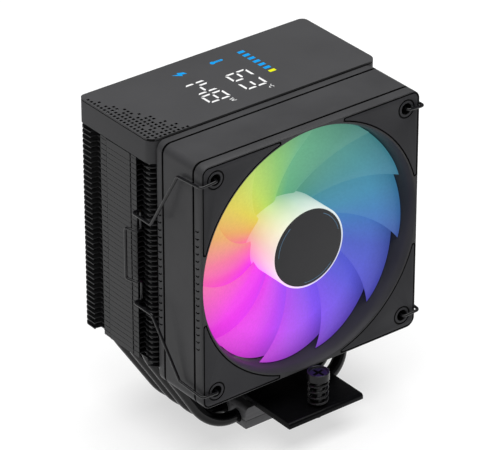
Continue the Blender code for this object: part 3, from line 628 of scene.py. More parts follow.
def fan_inset(centre):
    """How far a point lies inside the fan frame's outline, seen from the front."""
    across = abs(centre.x) - FAN_HALF + FRAME_CORNER
    up = abs(centre.z - FAN_Z) - FAN_HALF + FRAME_CORNER
    outside = math.hypot(max(across, 0.0), max(up, 0.0)) + min(max(across, up), 0.0)
    return FRAME_CORNER - outside


# ---------------- base

def base_pieces(looks):
    """The plate and the block: half of each pipe lies in each, and the block's boss carries the crossbar."""
    low, high = PLATE_LOW, PLATE_HIGH
    half, beyond = (BLOCK_HIGH.x - BLOCK_LOW.x) / 2, 40.0 * MM
    joint_z, edge = high.z + 0.15 * MM, 0.06 * MM
    grooves = [((-beyond, y, joint_z), (beyond, y, joint_z)) for y, _ in pipe_rows()]
    outline = rounded_rectangle((low.x, low.y), (high.x, high.y), (0.5 * MM,) * 4, 4)
    plate = slab("ground_cold_plate", [outline], low.z, high.z)
    boolean(plate, cylinders("pipe_grooves", grooves, PIPE_GROOVE_R, 32))
    piece(bevel(plate, edge), "cooler", looks["block"], ["cold_plate"])
    paint_shade_and_finish(plate, looks["nickel"], lambda centre, normal: normal.z < -0.99 and centre.z < low.z + 0.01 * MM)

    shoulder, deck, top = 2.2 * MM, 10.7 * MM, BAR_LOW.z - 0.3 * MM
    section = [(-half, BLOCK_LOW.z - 0.1 * MM), (half, BLOCK_LOW.z - 0.1 * MM)]
    section += arc((half - shoulder, deck - shoulder), shoulder, 0.0, 90.0, 8)
    section += arc((-half + shoulder, deck - shoulder), shoulder, 90.0, 180.0, 8)
    stand = Matrix.Rotation(math.radians(90.0), 4, "X")
    block = slab("milled_base_block", [section], -BLOCK_HIGH.y, -BLOCK_LOW.y, stand)
    boss = ((-15 * MM, -16 * MM, deck - 0.5 * MM), (15 * MM, 16 * MM, top))
    boolean(block, boxes("boss", [boss]), "UNION")
    boolean(block, cylinders("pipe_grooves", grooves, PIPE_GROOVE_R, 32))
    boolean(block, cylinders("bolt_holes", bolt_ends(8.1 * MM, top + MM), BOLT_HOLE_R, 24))
    piece(bevel(block, edge), "cooler", looks["block"], ["base_block"])


def bolt_ends(low, high):
    """A line through each of the crossbar's bolts, between two heights."""
    spots = [sum(node_box(f"crossbar_bolt_{side}"), Vector()) / 2 for side in ("left", "right")]
    return [((spot.x, spot.y, low), (spot.x, spot.y, high)) for spot in spots]


def pipe_rows():
    """For each pipe: its y in the base and its y in the fins, from the pipe's own box."""
    rows = []
    for index in range(4):
        low, high = node_box(f"heat_pipe_{index + 1}")
        rows.append((low.y + PIPE_R, high.y - PIPE_R))
    return rows


def heat_pipes(looks):
    knee, shoulder, bend = 37.0 * MM, 35.0 * MM, 17.0 * MM
    for index, (y_base, y_fins) in enumerate(pipe_rows()):
        node = f"heat_pipe_{index + 1}"
        low, high = node_box(node)
        half = [(knee, y_base, low.z + PIPE_R), (PIPE_X, y_fins, shoulder),
                (PIPE_X, y_fins, high.z - 0.4 * MM)]
        mirrored = [(-x, y, height) for x, y, height in reversed(half)]
        pipe = tube(f"plated_{node}", rounded_route(mirrored + half, bend, 12), PIPE_R, 28)
        piece(pipe, "cooler", looks["pipe"], [node], 45.0)


def crossbar(looks):
    """A pressed bar: its two ends are rolled over, its long sides are cut square."""
    low, high = BAR_LOW, BAR_HIGH
    roll, lower = 1.5 * MM, 0.4 * MM
    section = arc((high.y - roll, high.z - roll), roll, 0.0, 90.0, 8)
    section += arc((low.y + roll, high.z - roll), roll, 90.0, 180.0, 8)
    section += arc((low.y + lower, low.z + lower), lower, 180.0, 270.0, 4)
    section += arc((high.y - lower, low.z + lower), lower, 270.0, 360.0, 4)
    bar = loft("pressed_crossbar", [[(x, y, z) for y, z in section] for x in (low.x, high.x)])
    bevel(bar, 0.2 * MM)
    under, over = low.z - MM, high.z + MM
    holes = [((0.0, y, under), (0.0, y, over)) for y in (-SCREW_Y, SCREW_Y)]
    boolean(bar, cylinders("screw_holes", holes, 2.7 * MM, 36))
    boolean(bar, cylinders("bolt_holes", bolt_ends(under, over), BOLT_HOLE_R, 24))
    piece(bar, "cooler", looks["bar"], ["crossbar"], 30.0)
    for side in ("left", "right"):
        crossbar_bolt(side, looks["screw"])


def crossbar_bolt(side, look):
    """A button-headed bolt with a round socket."""
    low, high = node_box(f"crossbar_bolt_{side}")
    middle = (low + high) / 2
    head, shank, top, seat = 3.2 * MM, 1.5 * MM, high.z, high.z - 1.8 * MM
    socket, deep = 1.3 * MM, 1.1 * MM
    profile = [(0.0, top - deep), (socket, top - deep), (socket + 0.2 * MM, top), (head - 0.6 * MM, top),
               (head - 0.15 * MM, top - 0.3 * MM), (head, top - 0.8 * MM), (head, seat), (shank, seat),
               (shank, low.z + 0.3 * MM), (shank - 0.3 * MM, low.z), (0.0, low.z)]
    bolt = lathe(f"button_bolt_{side}", profile, 36, Matrix.Translation((middle.x, middle.y, 0.0)))
    piece(bolt, "cooler", look, [f"crossbar_bolt_{side}"])


# ---------------- spring screws

def cross_recess(top, y):
    """The two arms of a cross-shaped driver recess that narrows downwards."""
    long, wide, tip, deep = 3.4 * MM, 0.75 * MM, 1.5 * MM, 2.4 * MM
    rings = []
    for height, reach, width in ((top - deep, tip, wide * 0.55), (top + 0.5 * MM, long, wide)):
        flat = ((-reach, -width), (reach, -width), (reach, width), (-reach, width))
        rings.append([(x, across, height) for x, across in flat])
    return [loft("recess_arm", rings, Matrix.Translation((0.0, y, 0.0))
                 @ Matrix.Rotation(math.radians(turn), 4, "Z")) for turn in (10.0, 100.0)]


def spring_screws(looks):
    for name, y in (("front", -SCREW_Y), ("rear", SCREW_Y)):
        screw = threaded_screw(name, y)
        piece(screw, f"screw_{name}", looks["screw"], [f"spring_screw_{name}"], 28.0)
        spring = wound_spring(name, y)
        piece(spring, "cooler", looks["spring"], [f"screw_spring_{name}"], 50.0)
        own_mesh(spring)


def threaded_screw(name, y):
    """A screw with a dished head, a cross recess, a groove for its clip and a thread."""
    low, high = node_box(f"spring_screw_{name}")
    top, head = high.z, (high.y - low.y) / 2
    under, shank, crest = top - 4.0 * MM, 1.75 * MM, 2.0 * MM
    dish = top - 0.75 * MM
    clip_high, clip_low, core = 13.7 * MM, 12.3 * MM, 1.55 * MM
    profile = [(0.0, dish), (head - 1.25 * MM, dish), (head - 1.05 * MM, dish + 0.1 * MM),
               (head - 0.75 * MM, top - 0.12 * MM), (head - 0.55 * MM, top), (head - 0.25 * MM, top),
               (head - 0.06 * MM, top - 0.12 * MM), (head, top - 0.35 * MM), (head, under + 0.3 * MM),
               (head - 0.25 * MM, under), (crest, under), (crest, clip_high + 0.2 * MM), (core, clip_high),
               (core, clip_low), (crest, clip_low - 0.2 * MM)]
    pitch, height = 0.7 * MM, clip_low - 0.4 * MM
    while height - pitch > low.z + 0.8 * MM:
        profile += [(crest, height), (shank, height - pitch / 2)]
        height -= pitch
    profile += [(shank, low.z + 0.7 * MM), (1.2 * MM, low.z), (0.0, low.z)]
    screw = lathe(f"cross_screw_{name}", profile, 48, Matrix.Translation((0.0, y, 0.0)))
    for arm in cross_recess(dish, y):
        boolean(screw, arm)
    return screw


def wound_spring(name, y):
    """A spring of round wire whose end turns lie flatter than the others."""
    wire, radius = 0.62 * MM, 4.2 * MM
    bottom = BAR_HIGH.z + 0.3 * MM + wire
    rise = node_box(f"screw_spring_{name}")[1].z - BAR_HIGH.z - 0.3 * MM - 2 * wire
    turns, flat, slope = 4.3, 0.55, 1.3 * MM
    free = (rise - 2 * flat * slope) / (turns - 2 * flat)
    points = []
    steps = int(turns * 22)
    for step in range(steps + 1):
        turn = turns * step / steps
        height = slope * min(turn, flat) + free * min(max(turn - flat, 0.0), turns - 2 * flat)
        height += slope * max(turn - turns + flat, 0.0)
        angle = 2 * math.pi * turn
        points.append((radius * math.cos(angle), y + radius * math.sin(angle), bottom + height))
    return tube(f"coiled_spring_{name}", points, wire, 10)


# ---------------- fin stack

def fin_half(y_front, y_rear):
    """The right half of a fin's outline, from its front edge round to its rear edge."""
    deep, shallow = SIDE - 3.0 * MM, SIDE - 2.4 * MM
    half = arc((SIDE - FIN_CORNER, y_front + FIN_CORNER), FIN_CORNER, -90.0, 0.0, 6)
    for x, y in ((SIDE, -3.4), (shallow, -3.4), (shallow, 1.5), (deep, 1.5), (deep, 3.8),
                 (SIDE, 3.8), (SIDE, 30.0), (deep, 30.6), (deep, 36.4), (SIDE, 37.0)):
        half.append((x, y * MM))
    half += arc((SIDE - FIN_TIP, y_rear - FIN_TIP), FIN_TIP, 0.0, 90.0, 6)
    half += [(5.4 * MM, y_rear)]
    half += arc((0.0, y_rear - 1.2 * MM), 4.6 * MM, 0.0, -90.0, 5)[1:]
    return half


def fin_outline(lowest, y_front, y_rear):
    """A fin's outline; the lowest fin has no side tabs, so its side edge stays back between the recesses."""
    half = fin_half(y_front, y_rear)
    if lowest:
        half = [(x, y) for x, y in half if x <= SIDE - 0.5 * MM or not 3.0 * MM < y < 30.5 * MM]
    return half + [(-x, y) for x, y in reversed(half[:-1])]


def ribbon(path, thickness, low, high, shape):
    """A thin upright strip along a path, added to the mesh as a closed body."""
    rows = []
    for index, (x, y) in enumerate(path):
        before, after = path[max(index - 1, 0)], path[min(index + 1, len(path) - 1)]
        along = Vector((after[0] - before[0], after[1] - before[1], 0.0)).normalized()
        out = Vector((along.y, -along.x, 0.0)) * thickness
        near, far = Vector((x, y, low)), Vector((x, y, high))
        rows.append([shape.verts.new(corner) for corner in (near, far, far - out, near - out)])
    skin(shape, rows)


def fin_lips(index, y_front, y_rear):
    """The folded edges of one fin: the closed side tabs and the lips round its corners."""
    shape = bmesh.new()
    bottom = FIN_BOTTOM + index * FIN_PITCH
    top = bottom + FIN_THICK
    outer = SIDE + 0.1 * MM
    front = arc((SIDE - FIN_CORNER, y_front + FIN_CORNER), FIN_CORNER, -78.0, 0.0, 6) + [(SIDE, -3.5 * MM)]
    rear = [(SIDE, 37.1 * MM)] + arc((SIDE - FIN_TIP, y_rear - FIN_TIP), FIN_TIP, 0.0, 80.0, 6)
    strips = [(front, bottom - 0.12 * MM, top), (rear, bottom - 0.5 * MM, top)]
    if index > 0:
        tab_low = bottom - FIN_PITCH + FIN_THICK + 0.14 * MM
        tab_high = top if index < FINS - 1 else SKIRT_LOW.z - 0.2 * MM
        inner = outer - 0.22 * MM
        for y_low, y_high, x in ((3.9, 7.7, inner), (8.2, 25.2, outer), (25.7, 29.9, inner)):
            strips.append(([(x, y_low * MM), (x, y_high * MM)], tab_low, tab_high))
    for side in (-1, 1):
        for points, low, high in strips:
            run = [(side * x, y) for x, y in points]
            ribbon(run if side > 0 else run[::-1], 0.35 * MM, low, high, shape)
    return from_bmesh(f"lips_{index}", shape)


def fin_stack(looks):
    y_front, y_rear = STACK_LOW.y, STACK_HIGH.y
    spots = [(side * PIPE_X, y) for side in (-1, 1) for _, y in pipe_rows()]
    made = []
    for index in range(FINS):
        low = FIN_BOTTOM + index * FIN_PITCH
        sides = 40 if index in (0, FINS - 1) else 16
        holes = [circle(spot, FIN_HOLE_R, sides) for spot in spots]
        outline = fin_outline(index == 0, y_front, y_rear)
        made.append(slab(f"fin_{index}", [outline] + holes, low, low + FIN_THICK))
        made.append(fin_lips(index, y_front, y_rear))
    outer, under = 3.5 * MM, FIN_BOTTOM - 1.0 * MM
    collar = [(outer, under), (outer, FIN_BOTTOM), (FIN_HOLE_R, FIN_BOTTOM), (FIN_HOLE_R, under)]
    made += [lathe("collar", collar, 32, Matrix.Translation((x, y, 0.0))) for x, y in spots]
    piece(join("folded_fin_stack", made), "cooler", looks["fin"], ["fin_stack"], 25.0)


# ---------------- top cover and display

# Square holes along the panel's left edge, one row for each step from the rear edge to the front
PERFORATIONS = (
    "X", "X", "XX", "X", "XX", "XXX", "XXX", "XX.X", "XXXX", "XXXX", "XXX.X", "XXXX", "XXXXXX", "XXXXXX",
    "XXXXX", "XX.XXXX", "XXXXXX", "XXX.XXXX", "XXXXXXX", ".XXXXXXXX",
)


def cover_outline(low, high, inset):
    front, rear = COVER_CORNER - inset, 3.0 * MM - inset
    return rounded_rectangle((low.x + inset, low.y + inset), (high.x - inset, high.y - inset),
                             (front, front, rear, rear), 8)


def top_panel(looks):
    """The cover's flat top, with square holes along its left edge."""
    low, high = PANEL_LOW, PANEL_HIGH
    pitch, half, corner = 2.42 * MM, 0.67 * MM, 0.18 * MM
    left, rear = low.x + 1.35 * MM, high.y - 5.6 * MM
    rings = [cover_outline(low, high, 0.0)]
    for row, marks in enumerate(PERFORATIONS):
        for column, mark in enumerate(marks):
            if mark == "X":
                x, y = left + column * pitch, rear - row * pitch
                rings.append(rounded_rectangle((x - half, y - half), (x + half, y + half), (corner,) * 4, 2))
    panel = slab("perforated_top_panel", rings, low.z, high.z)
    bevel_outside(panel, low, high, 0.35 * MM)
    piece(panel, "cooler", looks["cover"], ["top_panel"])
    margin = 0.5 * MM

    def in_hole(centre, normal):
        inside = low.x + margin < centre.x < -20 * MM and low.y + margin < centre.y < high.y - margin
        return inside and abs(normal.z) < 0.1
    # The walls of the square holes get the near-black look: painted shade.
    paint_shade_and_finish(panel, looks["hole"], in_hole)


def cover_skirt(looks):
    low, high = SKIRT_LOW, SKIRT_HIGH
    rings = []
    for z, inset in ((low.z, 0.25), (low.z + 0.25 * MM, 0.0), (high.z - 0.12 * MM, 0.0), (high.z, 0.12)):
        rings.append([(x, y, z) for x, y in cover_outline(low, high, inset * MM)])
    skirt = loft("cover_skirt_shell", rings)
    wall = 1.6 * MM
    boolean(skirt, slab("skirt_space", [cover_outline(low, high, wall)], low.z - MM, high.z + MM))
    opening = ((28 * MM, high.y - 3 * MM, low.z - MM), (40 * MM, high.y + 3 * MM, 150.3 * MM))
    boolean(skirt, boxes("cable_opening", [opening]))
    piece(skirt, "cooler", looks["cover"], ["cover_skirt"])
    # The skirt's top rim, in the joint under the panel, gets the near-black look: painted shade in the gap.
    paint_shade_and_finish(skirt, looks["hole"], lambda centre, normal: centre.z > high.z - 0.2 * MM and normal.z > 0.2)


def bevel_outside(obj, low, high, width):
    """Round the edges of a flat panel's outline, but not those of its holes."""
    def on_outline(edge):
        if len(edge.link_faces) != 2 or any(vert.co.z < high.z - 0.01 * MM for vert in edge.verts):
            return False
        if edge.calc_face_angle(0.0) < math.radians(60.0):
            return False
        middle = (edge.verts[0].co + edge.verts[1].co) / 2
        across = min(middle.x - low.x, high.x - middle.x)
        along = min(middle.y - low.y, high.y - middle.y)
        if min(across, along) < 0.05 * MM:
            return True
        at_corner = max(across, along) < COVER_CORNER and min(across, along) < 1.4 * MM
        return at_corner and edge.calc_length() > 0.5 * MM

    def change(shape):
        edges = [edge for edge in shape.edges if on_outline(edge)]
        bmesh.ops.bevel(shape, geom=edges, offset=width, segments=3, affect="EDGES", clamp_overlap=True)
    edit(obj, change)


SEGMENTS = {"1": "bc", "3": "abcdg", "4": "bcfg", "6": "acdefg", "8": "abcdefg"}


def digit_rings(character, width, height, stroke, gap):
    """The segments of one digit, cut to a mitre where they meet; x to the right and y up."""
    w, h, t = width / 2, height / 2, stroke
    cut = gap / 2
    middle = [(-w + t + cut, 0.0), (-w + 1.5 * t + cut, t / 2), (w - 1.5 * t - cut, t / 2),
              (w - t - cut, 0.0), (w - 1.5 * t - cut, -t / 2), (-w + 1.5 * t + cut, -t / 2)]
    top = [(-w + cut + 0.2 * t, h), (w - cut - 0.2 * t, h), (w - t - cut, h - t), (-w + t + cut, h - t)]
    upper_right = [(w, h - cut - 0.2 * t), (w, cut + 0.2 * t), (w - 0.4 * t, cut), (w - t, cut + 0.6 * t),
                   (w - t, h - t - cut)]
    shapes = {"g": middle, "a": top, "b": upper_right, "c": flipped(upper_right, 1, -1),
              "d": flipped(top, 1, -1), "e": flipped(upper_right, -1, -1), "f": flipped(upper_right, -1, 1)}
    return [shapes[key] for key in SEGMENTS[character]]


def flipped(ring, across, up):
    return [(x * across, y * up) for x, y in ring]


def stroke_ring(start, end, width):
    start, end = Vector(start), Vector(end)
    along = (end - start).normalized() * width / 2
    side = Vector((-along.y, along.x))
    return [start - along - side, end + along - side, end + along + side, start - along + side]


def on_cover(rings, middle_x, middle_y):
    """Marks drawn with x to the right and y up are read from the fan's side: right is -Y and up is +X."""
    return [[(middle_x + y, middle_y - x) for x, y in ring] for ring in rings]


def display_piece(name, rings, look):
    low, high = PANEL_HIGH.z - 0.05 * MM, PANEL_HIGH.z + 0.04 * MM
    made = [slab(f"{name}_{index}", [ring], low, high) for index, ring in enumerate(rings)]
    piece(join(name, made), "cooler", look, ())


def display(looks):
    upper, lower = 4.8 * MM, -15.6 * MM
    width, height, stroke, gap = 7.6 * MM, 11.7 * MM, 1.08 * MM, 1.2 * MM
    digits = []
    for character, x, y in (("6", upper, 17.85), ("3", upper, 8.55), ("1", lower, 27.2), ("4", lower, 17.8),
                            ("8", lower, 8.5)):
        digits += on_cover(digit_rings(character, width, height, stroke, gap), x, y * MM)
    display_piece("display_digits", digits, looks["white_light"])
    display_piece("display_unit_signs", unit_signs(), looks["white_light"])

    bars = []
    near, far, half, corner = 17.45 * MM, 20.9 * MM, 0.95 * MM, 0.15 * MM
    for index in range(7):
        y = 35.4 * MM - 3.72 * MM * index
        bars.append(rounded_rectangle((near, y - half), (far, y + half), (corner,) * 4, 2))
    display_piece("display_bars", bars[:-1], looks["blue_light"])
    display_piece("display_last_bar", bars[-1:], looks["yellow_light"])
    display_piece("display_icons", thermometer() + lightning(), looks["blue_light"])


def unit_signs():
    """A W after the lower number, and a degree sign and a C after the upper one, drawn with thin strokes."""
    letter_w = [(-1.3, 1.1), (-0.75, -1.0), (0.0, 0.7), (0.75, -1.0), (1.3, 1.1)]
    letter_c = [(1.35, 0.9), (0.7, 1.15), (0.05, 0.5), (0.05, -0.5), (0.7, -1.15), (1.35, -0.9)]
    signs = []
    for corners, x in ((letter_w, -11.4 * MM), (letter_c, 9.4 * MM)):
        places = [(a * MM, b * MM) for a, b in corners]
        lines = [stroke_ring(start, end, 0.24 * MM) for start, end in zip(places, places[1:])]
        signs += on_cover(lines, x, 1.8 * MM)
    return signs + on_cover([circle((-1.0 * MM, 0.95 * MM), 0.3 * MM, 12)], 9.4 * MM, 1.8 * MM)


def thermometer():
    """A bulb and a stem broken by three thin gaps."""
    stem, gap = 0.72 * MM, 0.12 * MM
    marks = [arc((0.0, -2.2 * MM), 1.2 * MM, 125.0, 415.0, 14) + [(stem, -0.4 * MM), (-stem, -0.4 * MM)]]
    for low, high in ((-0.4, 0.9), (0.9, 2.0)):
        low, high = low * MM + gap, high * MM - gap
        marks.append([(-stem, low), (stem, low), (stem, high), (-stem, high)])
    low = 2.0 * MM + gap
    marks.append([(-stem, low), (stem, low)] + arc((0.0, 2.7 * MM), stem, 0.0, 180.0, 8))
    return on_cover(marks, 4.75 * MM, 34.7 * MM)


def lightning():
    corners = ((1.25, 3.1), (0.55, 0.75), (1.95, 0.35), (-1.15, -3.4), (-0.35, -0.6), (-1.9, -0.35),
               (-0.55, 2.55))
    return on_cover([[(x * MM, y * MM) for x, y in corners]], -15.55 * MM, 34.7 * MM)


# ---------------- fan frame

def frame_ring(depth, inset):
    half = FAN_HALF - inset
    radius = max(FRAME_CORNER - inset, 0.6 * MM)
    return [(x, y, -depth) for x, y in rounded_rectangle((-half, -half), (half, half), (radius,) * 4, 8)]


def pad_outline(right, top, inset):
    """The outline of a corner's pocket or pad: a square corner cut off by a circle round the fan's bore."""
    outer, end, inner = 59.45 * MM - inset, 17.0 * MM + inset, 60.1 * MM + inset
    corner, tip = 3.4 * MM - inset, 1.0 * MM
    start = math.degrees(math.asin(end / inner))
    points = arc((outer - tip, end + tip), tip, -90.0, 0.0, 3)[1:]
    points += arc((outer - corner, outer - corner), corner, 0.0, 90.0, 8)
    points += arc((end + tip, outer - tip), tip, 90.0, 180.0, 3)[:-1]
    points += arc((0.0, 0.0), inner, 90.0 - start, start, 18)
    placed = flipped(points, right, top)
    return placed if right * top > 0 else placed[::-1]



def side_notches():
    """Small curved ticks down both sides of the frame, on the front and the rear strip."""
    tick = arc((0.0, 0.0), 1.95 * MM, 205.0, 300.0, 7) + arc((0.0, 0.0), 1.3 * MM, 300.0, 205.0, 7)
    count, pitch, top = 17, 3.66 * MM, 29.9 * MM
    made = []
    for side in (-1, 1):
        place = Matrix(((0, 0, 1, side * FAN_HALF), (1, 0, 0, FAN_FRONT), (0, 1, 0, FAN_Z), (0, 0, 0, 1)))
        for depth in (3.6 * MM, 30.4 * MM):
            for index in range(count):
                ring = [(depth + x, top - index * pitch + y) for x, y in tick]
                flat = slab("tick", [ring], -TICK_DEPTH, TICK_DEPTH)
                flat.matrix_world = place
                made.append(flat)
    bpy.context.view_layer.update()
    cut = join("side_ticks", made)
    edit(cut, lambda shape: bmesh.ops.recalc_face_normals(shape, faces=shape.faces))
    return cut


def in_frame_shaded_gap(centre, normal):
    """Whether a face of the fan frame belongs to a groove, a pocket, a tick or a screw hole, the places that
    get painted shade.
    """
    depth, inset = (centre.y - FAN_FRONT) / MM, fan_inset(centre) / MM
    in_groove = any(abs(depth - middle) < 0.61 for middle in FRAME_GROOVES) and 0.2 < inset < 1.4
    radius = math.hypot(centre.x, centre.z - FAN_Z) / MM
    in_pocket = 0.12 < depth < 1.3 and radius > 59.9 and inset > 0.3
    in_tick = 0.1 < inset < 0.6 and 0.5 < depth < 31.2
    to_hole = math.hypot(abs(centre.x) - HOLE, abs(centre.z - FAN_Z) - HOLE) / MM
    return in_groove or in_pocket or in_tick or (to_hole < 2.9 and depth < 31.0)


def fan_frame(looks):
    stations = [(0.0, 0.32), (0.12, 0.1), (0.35, 0.0)]
    half, deep, edge = 0.6, 1.2, 0.12
    for groove in FRAME_GROOVES:
        front, rear = groove - half, groove + half
        stations += [(front - edge, 0.0), (front, edge), (front, deep), (rear, deep), (rear, edge),
                     (rear + edge, 0.0)]
    stations += [(31.3, 0.0), (31.75, 0.15), (FAN_DEPTH / MM, 0.6)]
    rings = [frame_ring(depth * MM, inset * MM) for depth, inset in stations]
    body = loft("moulded_fan_frame", rings, fan_place())

    bore = [(0.0, -2.0), (59.9, -2.0), (59.9, 0.0), (59.35, 0.25), (59.0, 0.9), (58.3, 2.2), (57.85, 4.2),
            (57.8, 26.0), (58.4, 34.0), (0.0, 34.0)]
    boolean(body, fan_lathe("bore", bore, 144))
    for right, top in CORNERS.values():
        boolean(body, fan_slab("pocket", [pad_outline(right, top, 0.0)], -MM, POCKET_DEPTH))
    spots = [(right * HOLE, FAN_Z + top * HOLE) for right, top in CORNERS.values()]
    holes = [((x, FAN_FRONT - MM, z), (x, FAN_HIGH.y + MM, z)) for x, z in spots]
    boolean(body, cylinders("holes", holes, HOLE_R, 32))
    boolean(body, side_notches())
    boolean(body, motor_mount(), "UNION")
    piece(body, "cooler", looks["frame"], ["fan_frame"], 28.0)
    # The grooves, pockets, ticks and screw holes get the near-black look: painted shade.
    paint_shade_and_finish(body, looks["hole"], in_frame_shaded_gap)


def motor_mount():
    """Four struts, the motor base and the tube that holds the bearing, as one body."""
    front, rear, outer = 28.0, 31.2, 21.0
    tube_in, tube_out, tube_front = 4.3, 5.3, 12.0
    profile = [(0.0, front + 1.0), (tube_in, front + 1.0), (tube_in, tube_front), (tube_out, tube_front),
               (tube_out, front), (outer - 0.4, front), (outer, front + 0.4), (outer, rear - 0.4),
               (outer - 0.4, rear), (0.0, rear)]
    base = fan_lathe("motor_base", profile, 64)
    box = ((15 * MM, -2.6 * MM, (0.3 - rear) * MM), (60.4 * MM, 2.6 * MM, (-front - 0.3) * MM))
    for angle in (45.0, 135.0, 225.0, 315.0):
        place = fan_place() @ Matrix.Rotation(math.radians(angle), 4, "Z")
        boolean(base, bevel(boxes("strut", [box], place), 0.6 * MM), "UNION")
    return base


def corner_pads(looks):
    """The flush pads in the frame's pockets, each with a thin groove round its screw hole."""
    inner, outer, floor = 3.85 * MM, 4.6 * MM, 0.5 * MM
    for name, (right, top) in CORNERS.items():
        spot = (right * HOLE, top * HOLE)
        rings = [pad_outline(right, top, 0.65 * MM), circle(spot, HOLE_R, 40)]
        pad = fan_slab(f"flush_pad_{name}", rings, 0.0, 0.9 * MM)
        groove = [(inner, MM), (outer, MM), (outer, -floor), (inner, -floor)]
        boolean(pad, lathe("groove", groove, 48, fan_place() @ Matrix.Translation((*spot, 0.0))))
        bevel(pad, 0.1 * MM, 2, 60.0)
        piece(pad, "cooler", looks["pad"], [f"corner_pad_{name}"], 30.0)
        # Every face behind the pad's front face (its sides, its back and the ring groove) gets the near-black
        # look: painted shade.
        paint_shade_and_finish(pad, looks["hole"], lambda centre, normal: centre.y > FAN_FRONT + 0.11 * MM)


# ---------------- rotor

def blade_point(radial, chord, turn):
    """A point of a blade's middle surface, from root to tip and from leading to trailing edge, 0 to 1."""
    radial, chord = min(max(radial, 0.0), 1.0), min(max(chord, 0.0), 1.0)
    root = HUB_R - 0.6 * MM
    radius = root + (BLADE_TIP - root) * radial
    front = 6.8 * MM + 12.2 * MM * (1.0 - radial) ** 1.3
    rear = 23.8 * MM - 2.0 * MM * radial
    span = math.radians(47.0 + 19.0 * radial)
    angle = turn + span * (chord - 0.5) - math.radians(16.0) * radial ** 1.3
    depth = front + (rear - front) * chord ** 1.6
    return Vector((radius * math.cos(angle), radius * math.sin(angle), -depth))


def blade(index):
    """One blade: a curved sheet with rounded edges, thickest in the middle of its chord."""
    across, along, near, thick = 22, 30, 0.01, 0.6 * MM
    turn = 2 * math.pi * index / BLADES
    shape = bmesh.new()
    front, back = [], []
    for i in range(across + 1):
        front.append([])
        back.append([])
        for j in range(along + 1):
            u, v = i / across, j / along
            slope_u = blade_point(u + near, v, turn) - blade_point(u - near, v, turn)
            slope_v = blade_point(u, v + near, turn) - blade_point(u, v - near, turn)
            edge = min(1.0, 9.0 * min(v, 1 - v) + 0.22) * min(1.0, 12.0 * (1 - u) + 0.3)
            out = slope_u.cross(slope_v).normalized() * thick * edge
            here = blade_point(u, v, turn)
            front[i].append(shape.verts.new(here - out))
            back[i].append(shape.verts.new(here + out))
    for rows in (front, back):
        for i in range(across):
            for j in range(along):
                shape.faces.new((rows[i][j], rows[i + 1][j], rows[i + 1][j + 1], rows[i][j + 1]))
    for i in range(across):
        for j in (0, along):
            shape.faces.new((front[i][j], front[i + 1][j], back[i + 1][j], back[i][j]))
    for j in range(along):
        for i in (0, across):
            shape.faces.new((front[i][j], front[i][j + 1], back[i][j + 1], back[i][j]))
    bmesh.ops.transform(shape, verts=shape.verts, matrix=fan_place())
    return from_bmesh(f"blade_{index}", shape)


def rotor(looks):
    blades = join("translucent_blades", [blade(index) for index in range(BLADES)])
    piece(blades, "rotor", looks["blade"], (), 50.0)
    front, rear, outer = HUB_FRONT / MM, HUB_REAR / MM, HUB_R / MM
    inner, seat, floor, lip, boss = outer - 1.4, front + 1.0, front + 2.4, 18.9, 3.4
    profile = [(0.0, seat), (lip, seat), (lip, front), (outer - 0.5, front), (outer - 0.14, front + 0.14),
               (outer, front + 0.5), (outer, rear), (inner, rear), (inner, floor), (boss, floor),
               (boss, 9.0), (1.8, 9.0), (1.8, floor + 0.3), (0.0, floor + 0.3)]
    hub = fan_lathe("glowing_hub_body", profile, 96)
    piece(hub, "rotor", looks["hub"], ["fan_rotor"], 40.0)

    cap = [(0.0, 1.9), (18.0, 1.9), (18.3, 1.98), (18.5, 2.25), (18.5, 2.9), (0.0, 2.9)]
    disc = fan_lathe("matte_hub_cap", cap, 96)
    piece(disc, "rotor", looks["cap"], ["hub_cap"], 30.0)
    arcs = []
    for start, end in ((14.0, 62.0), (128.0, 178.0), (262.0, 318.0)):
        ring = arc((0, 0), 17.0 * MM, start, end, 24) + arc((0, 0), 16.7 * MM, end, start, 24)
        arcs.append(fan_slab("arc", [ring], 1.84 * MM, 1.95 * MM))
    piece(join("cap_arcs", arcs), "rotor", looks["arc"], ())


# ---------------- fan clips

def clips(looks):
    """A wire bent round the frame's corner holes and hooked into a recess of the fins."""
    wire = 0.7 * MM
    clear = wire + 0.6 * MM
    face, side = FAN_FRONT - clear, -FAN_HALF - clear
    out, hook, hook_y = -65.6 * MM, -61.3 * MM, 2.6 * MM
    high, low = 22.5 * MM, 12.8 * MM
    upper = [(-HOLE, FAN_FRONT + 1.7 * MM, HOLE), (-HOLE, face, HOLE), (side, face, HOLE - 0.5 * MM),
             (side - 0.4 * MM, FAN_FRONT + 14.5 * MM, 51.0 * MM), (out, -10.7 * MM, high),
             (out, hook_y, high), (hook, hook_y, high), (hook, hook_y, low), (out + 1.6 * MM, hook_y, low),
             (out, 8.2 * MM, low)]
    route = upper + [(x, y, -z) for x, y, z in reversed(upper)]
    for flip, name in ((1, "left"), (-1, "right")):
        bent = rounded_route([(flip * x, y, FAN_Z + z) for x, y, z in route], 1.5 * MM, 7)
        clip = tube(f"spring_wire_clip_{name}", bent, wire, 16)
        piece(clip, f"clip_{name}", looks["wire"], [f"fan_clip_{name}"], 50.0)


# ---------------- pieces kept from the CAD model

def carried_over(looks):
    """CAD nodes whose shape is right keep it, and get a better surface."""
    kept = {
        "tray": ["cover_tray"], "board": ["display_board", "motor_board"], "chip": ["driver_chip"],
        "socket": ["cable_socket"], "white_board": ["led_board"], "guide": ["display_light_guide"],
        "screw": [f"board_screw_{index}" for index in (1, 2, 3, 4)],
        "spring": ["screw_clip_front", "screw_clip_rear"],
        "motor_steel": ["rotor_yoke", "stator_core", "fan_shaft"], "ferrite": ["magnet_ring"],
        "bronze": ["bearing_sleeve"], "winding": [f"stator_coil_{index}" for index in (1, 2, 3, 4)],
        "chip_clip": ["shaft_clip"],
    }
    for look, nodes in kept.items():
        for node in nodes:
            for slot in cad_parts[node].material_slots:
                slot.material = looks[look]


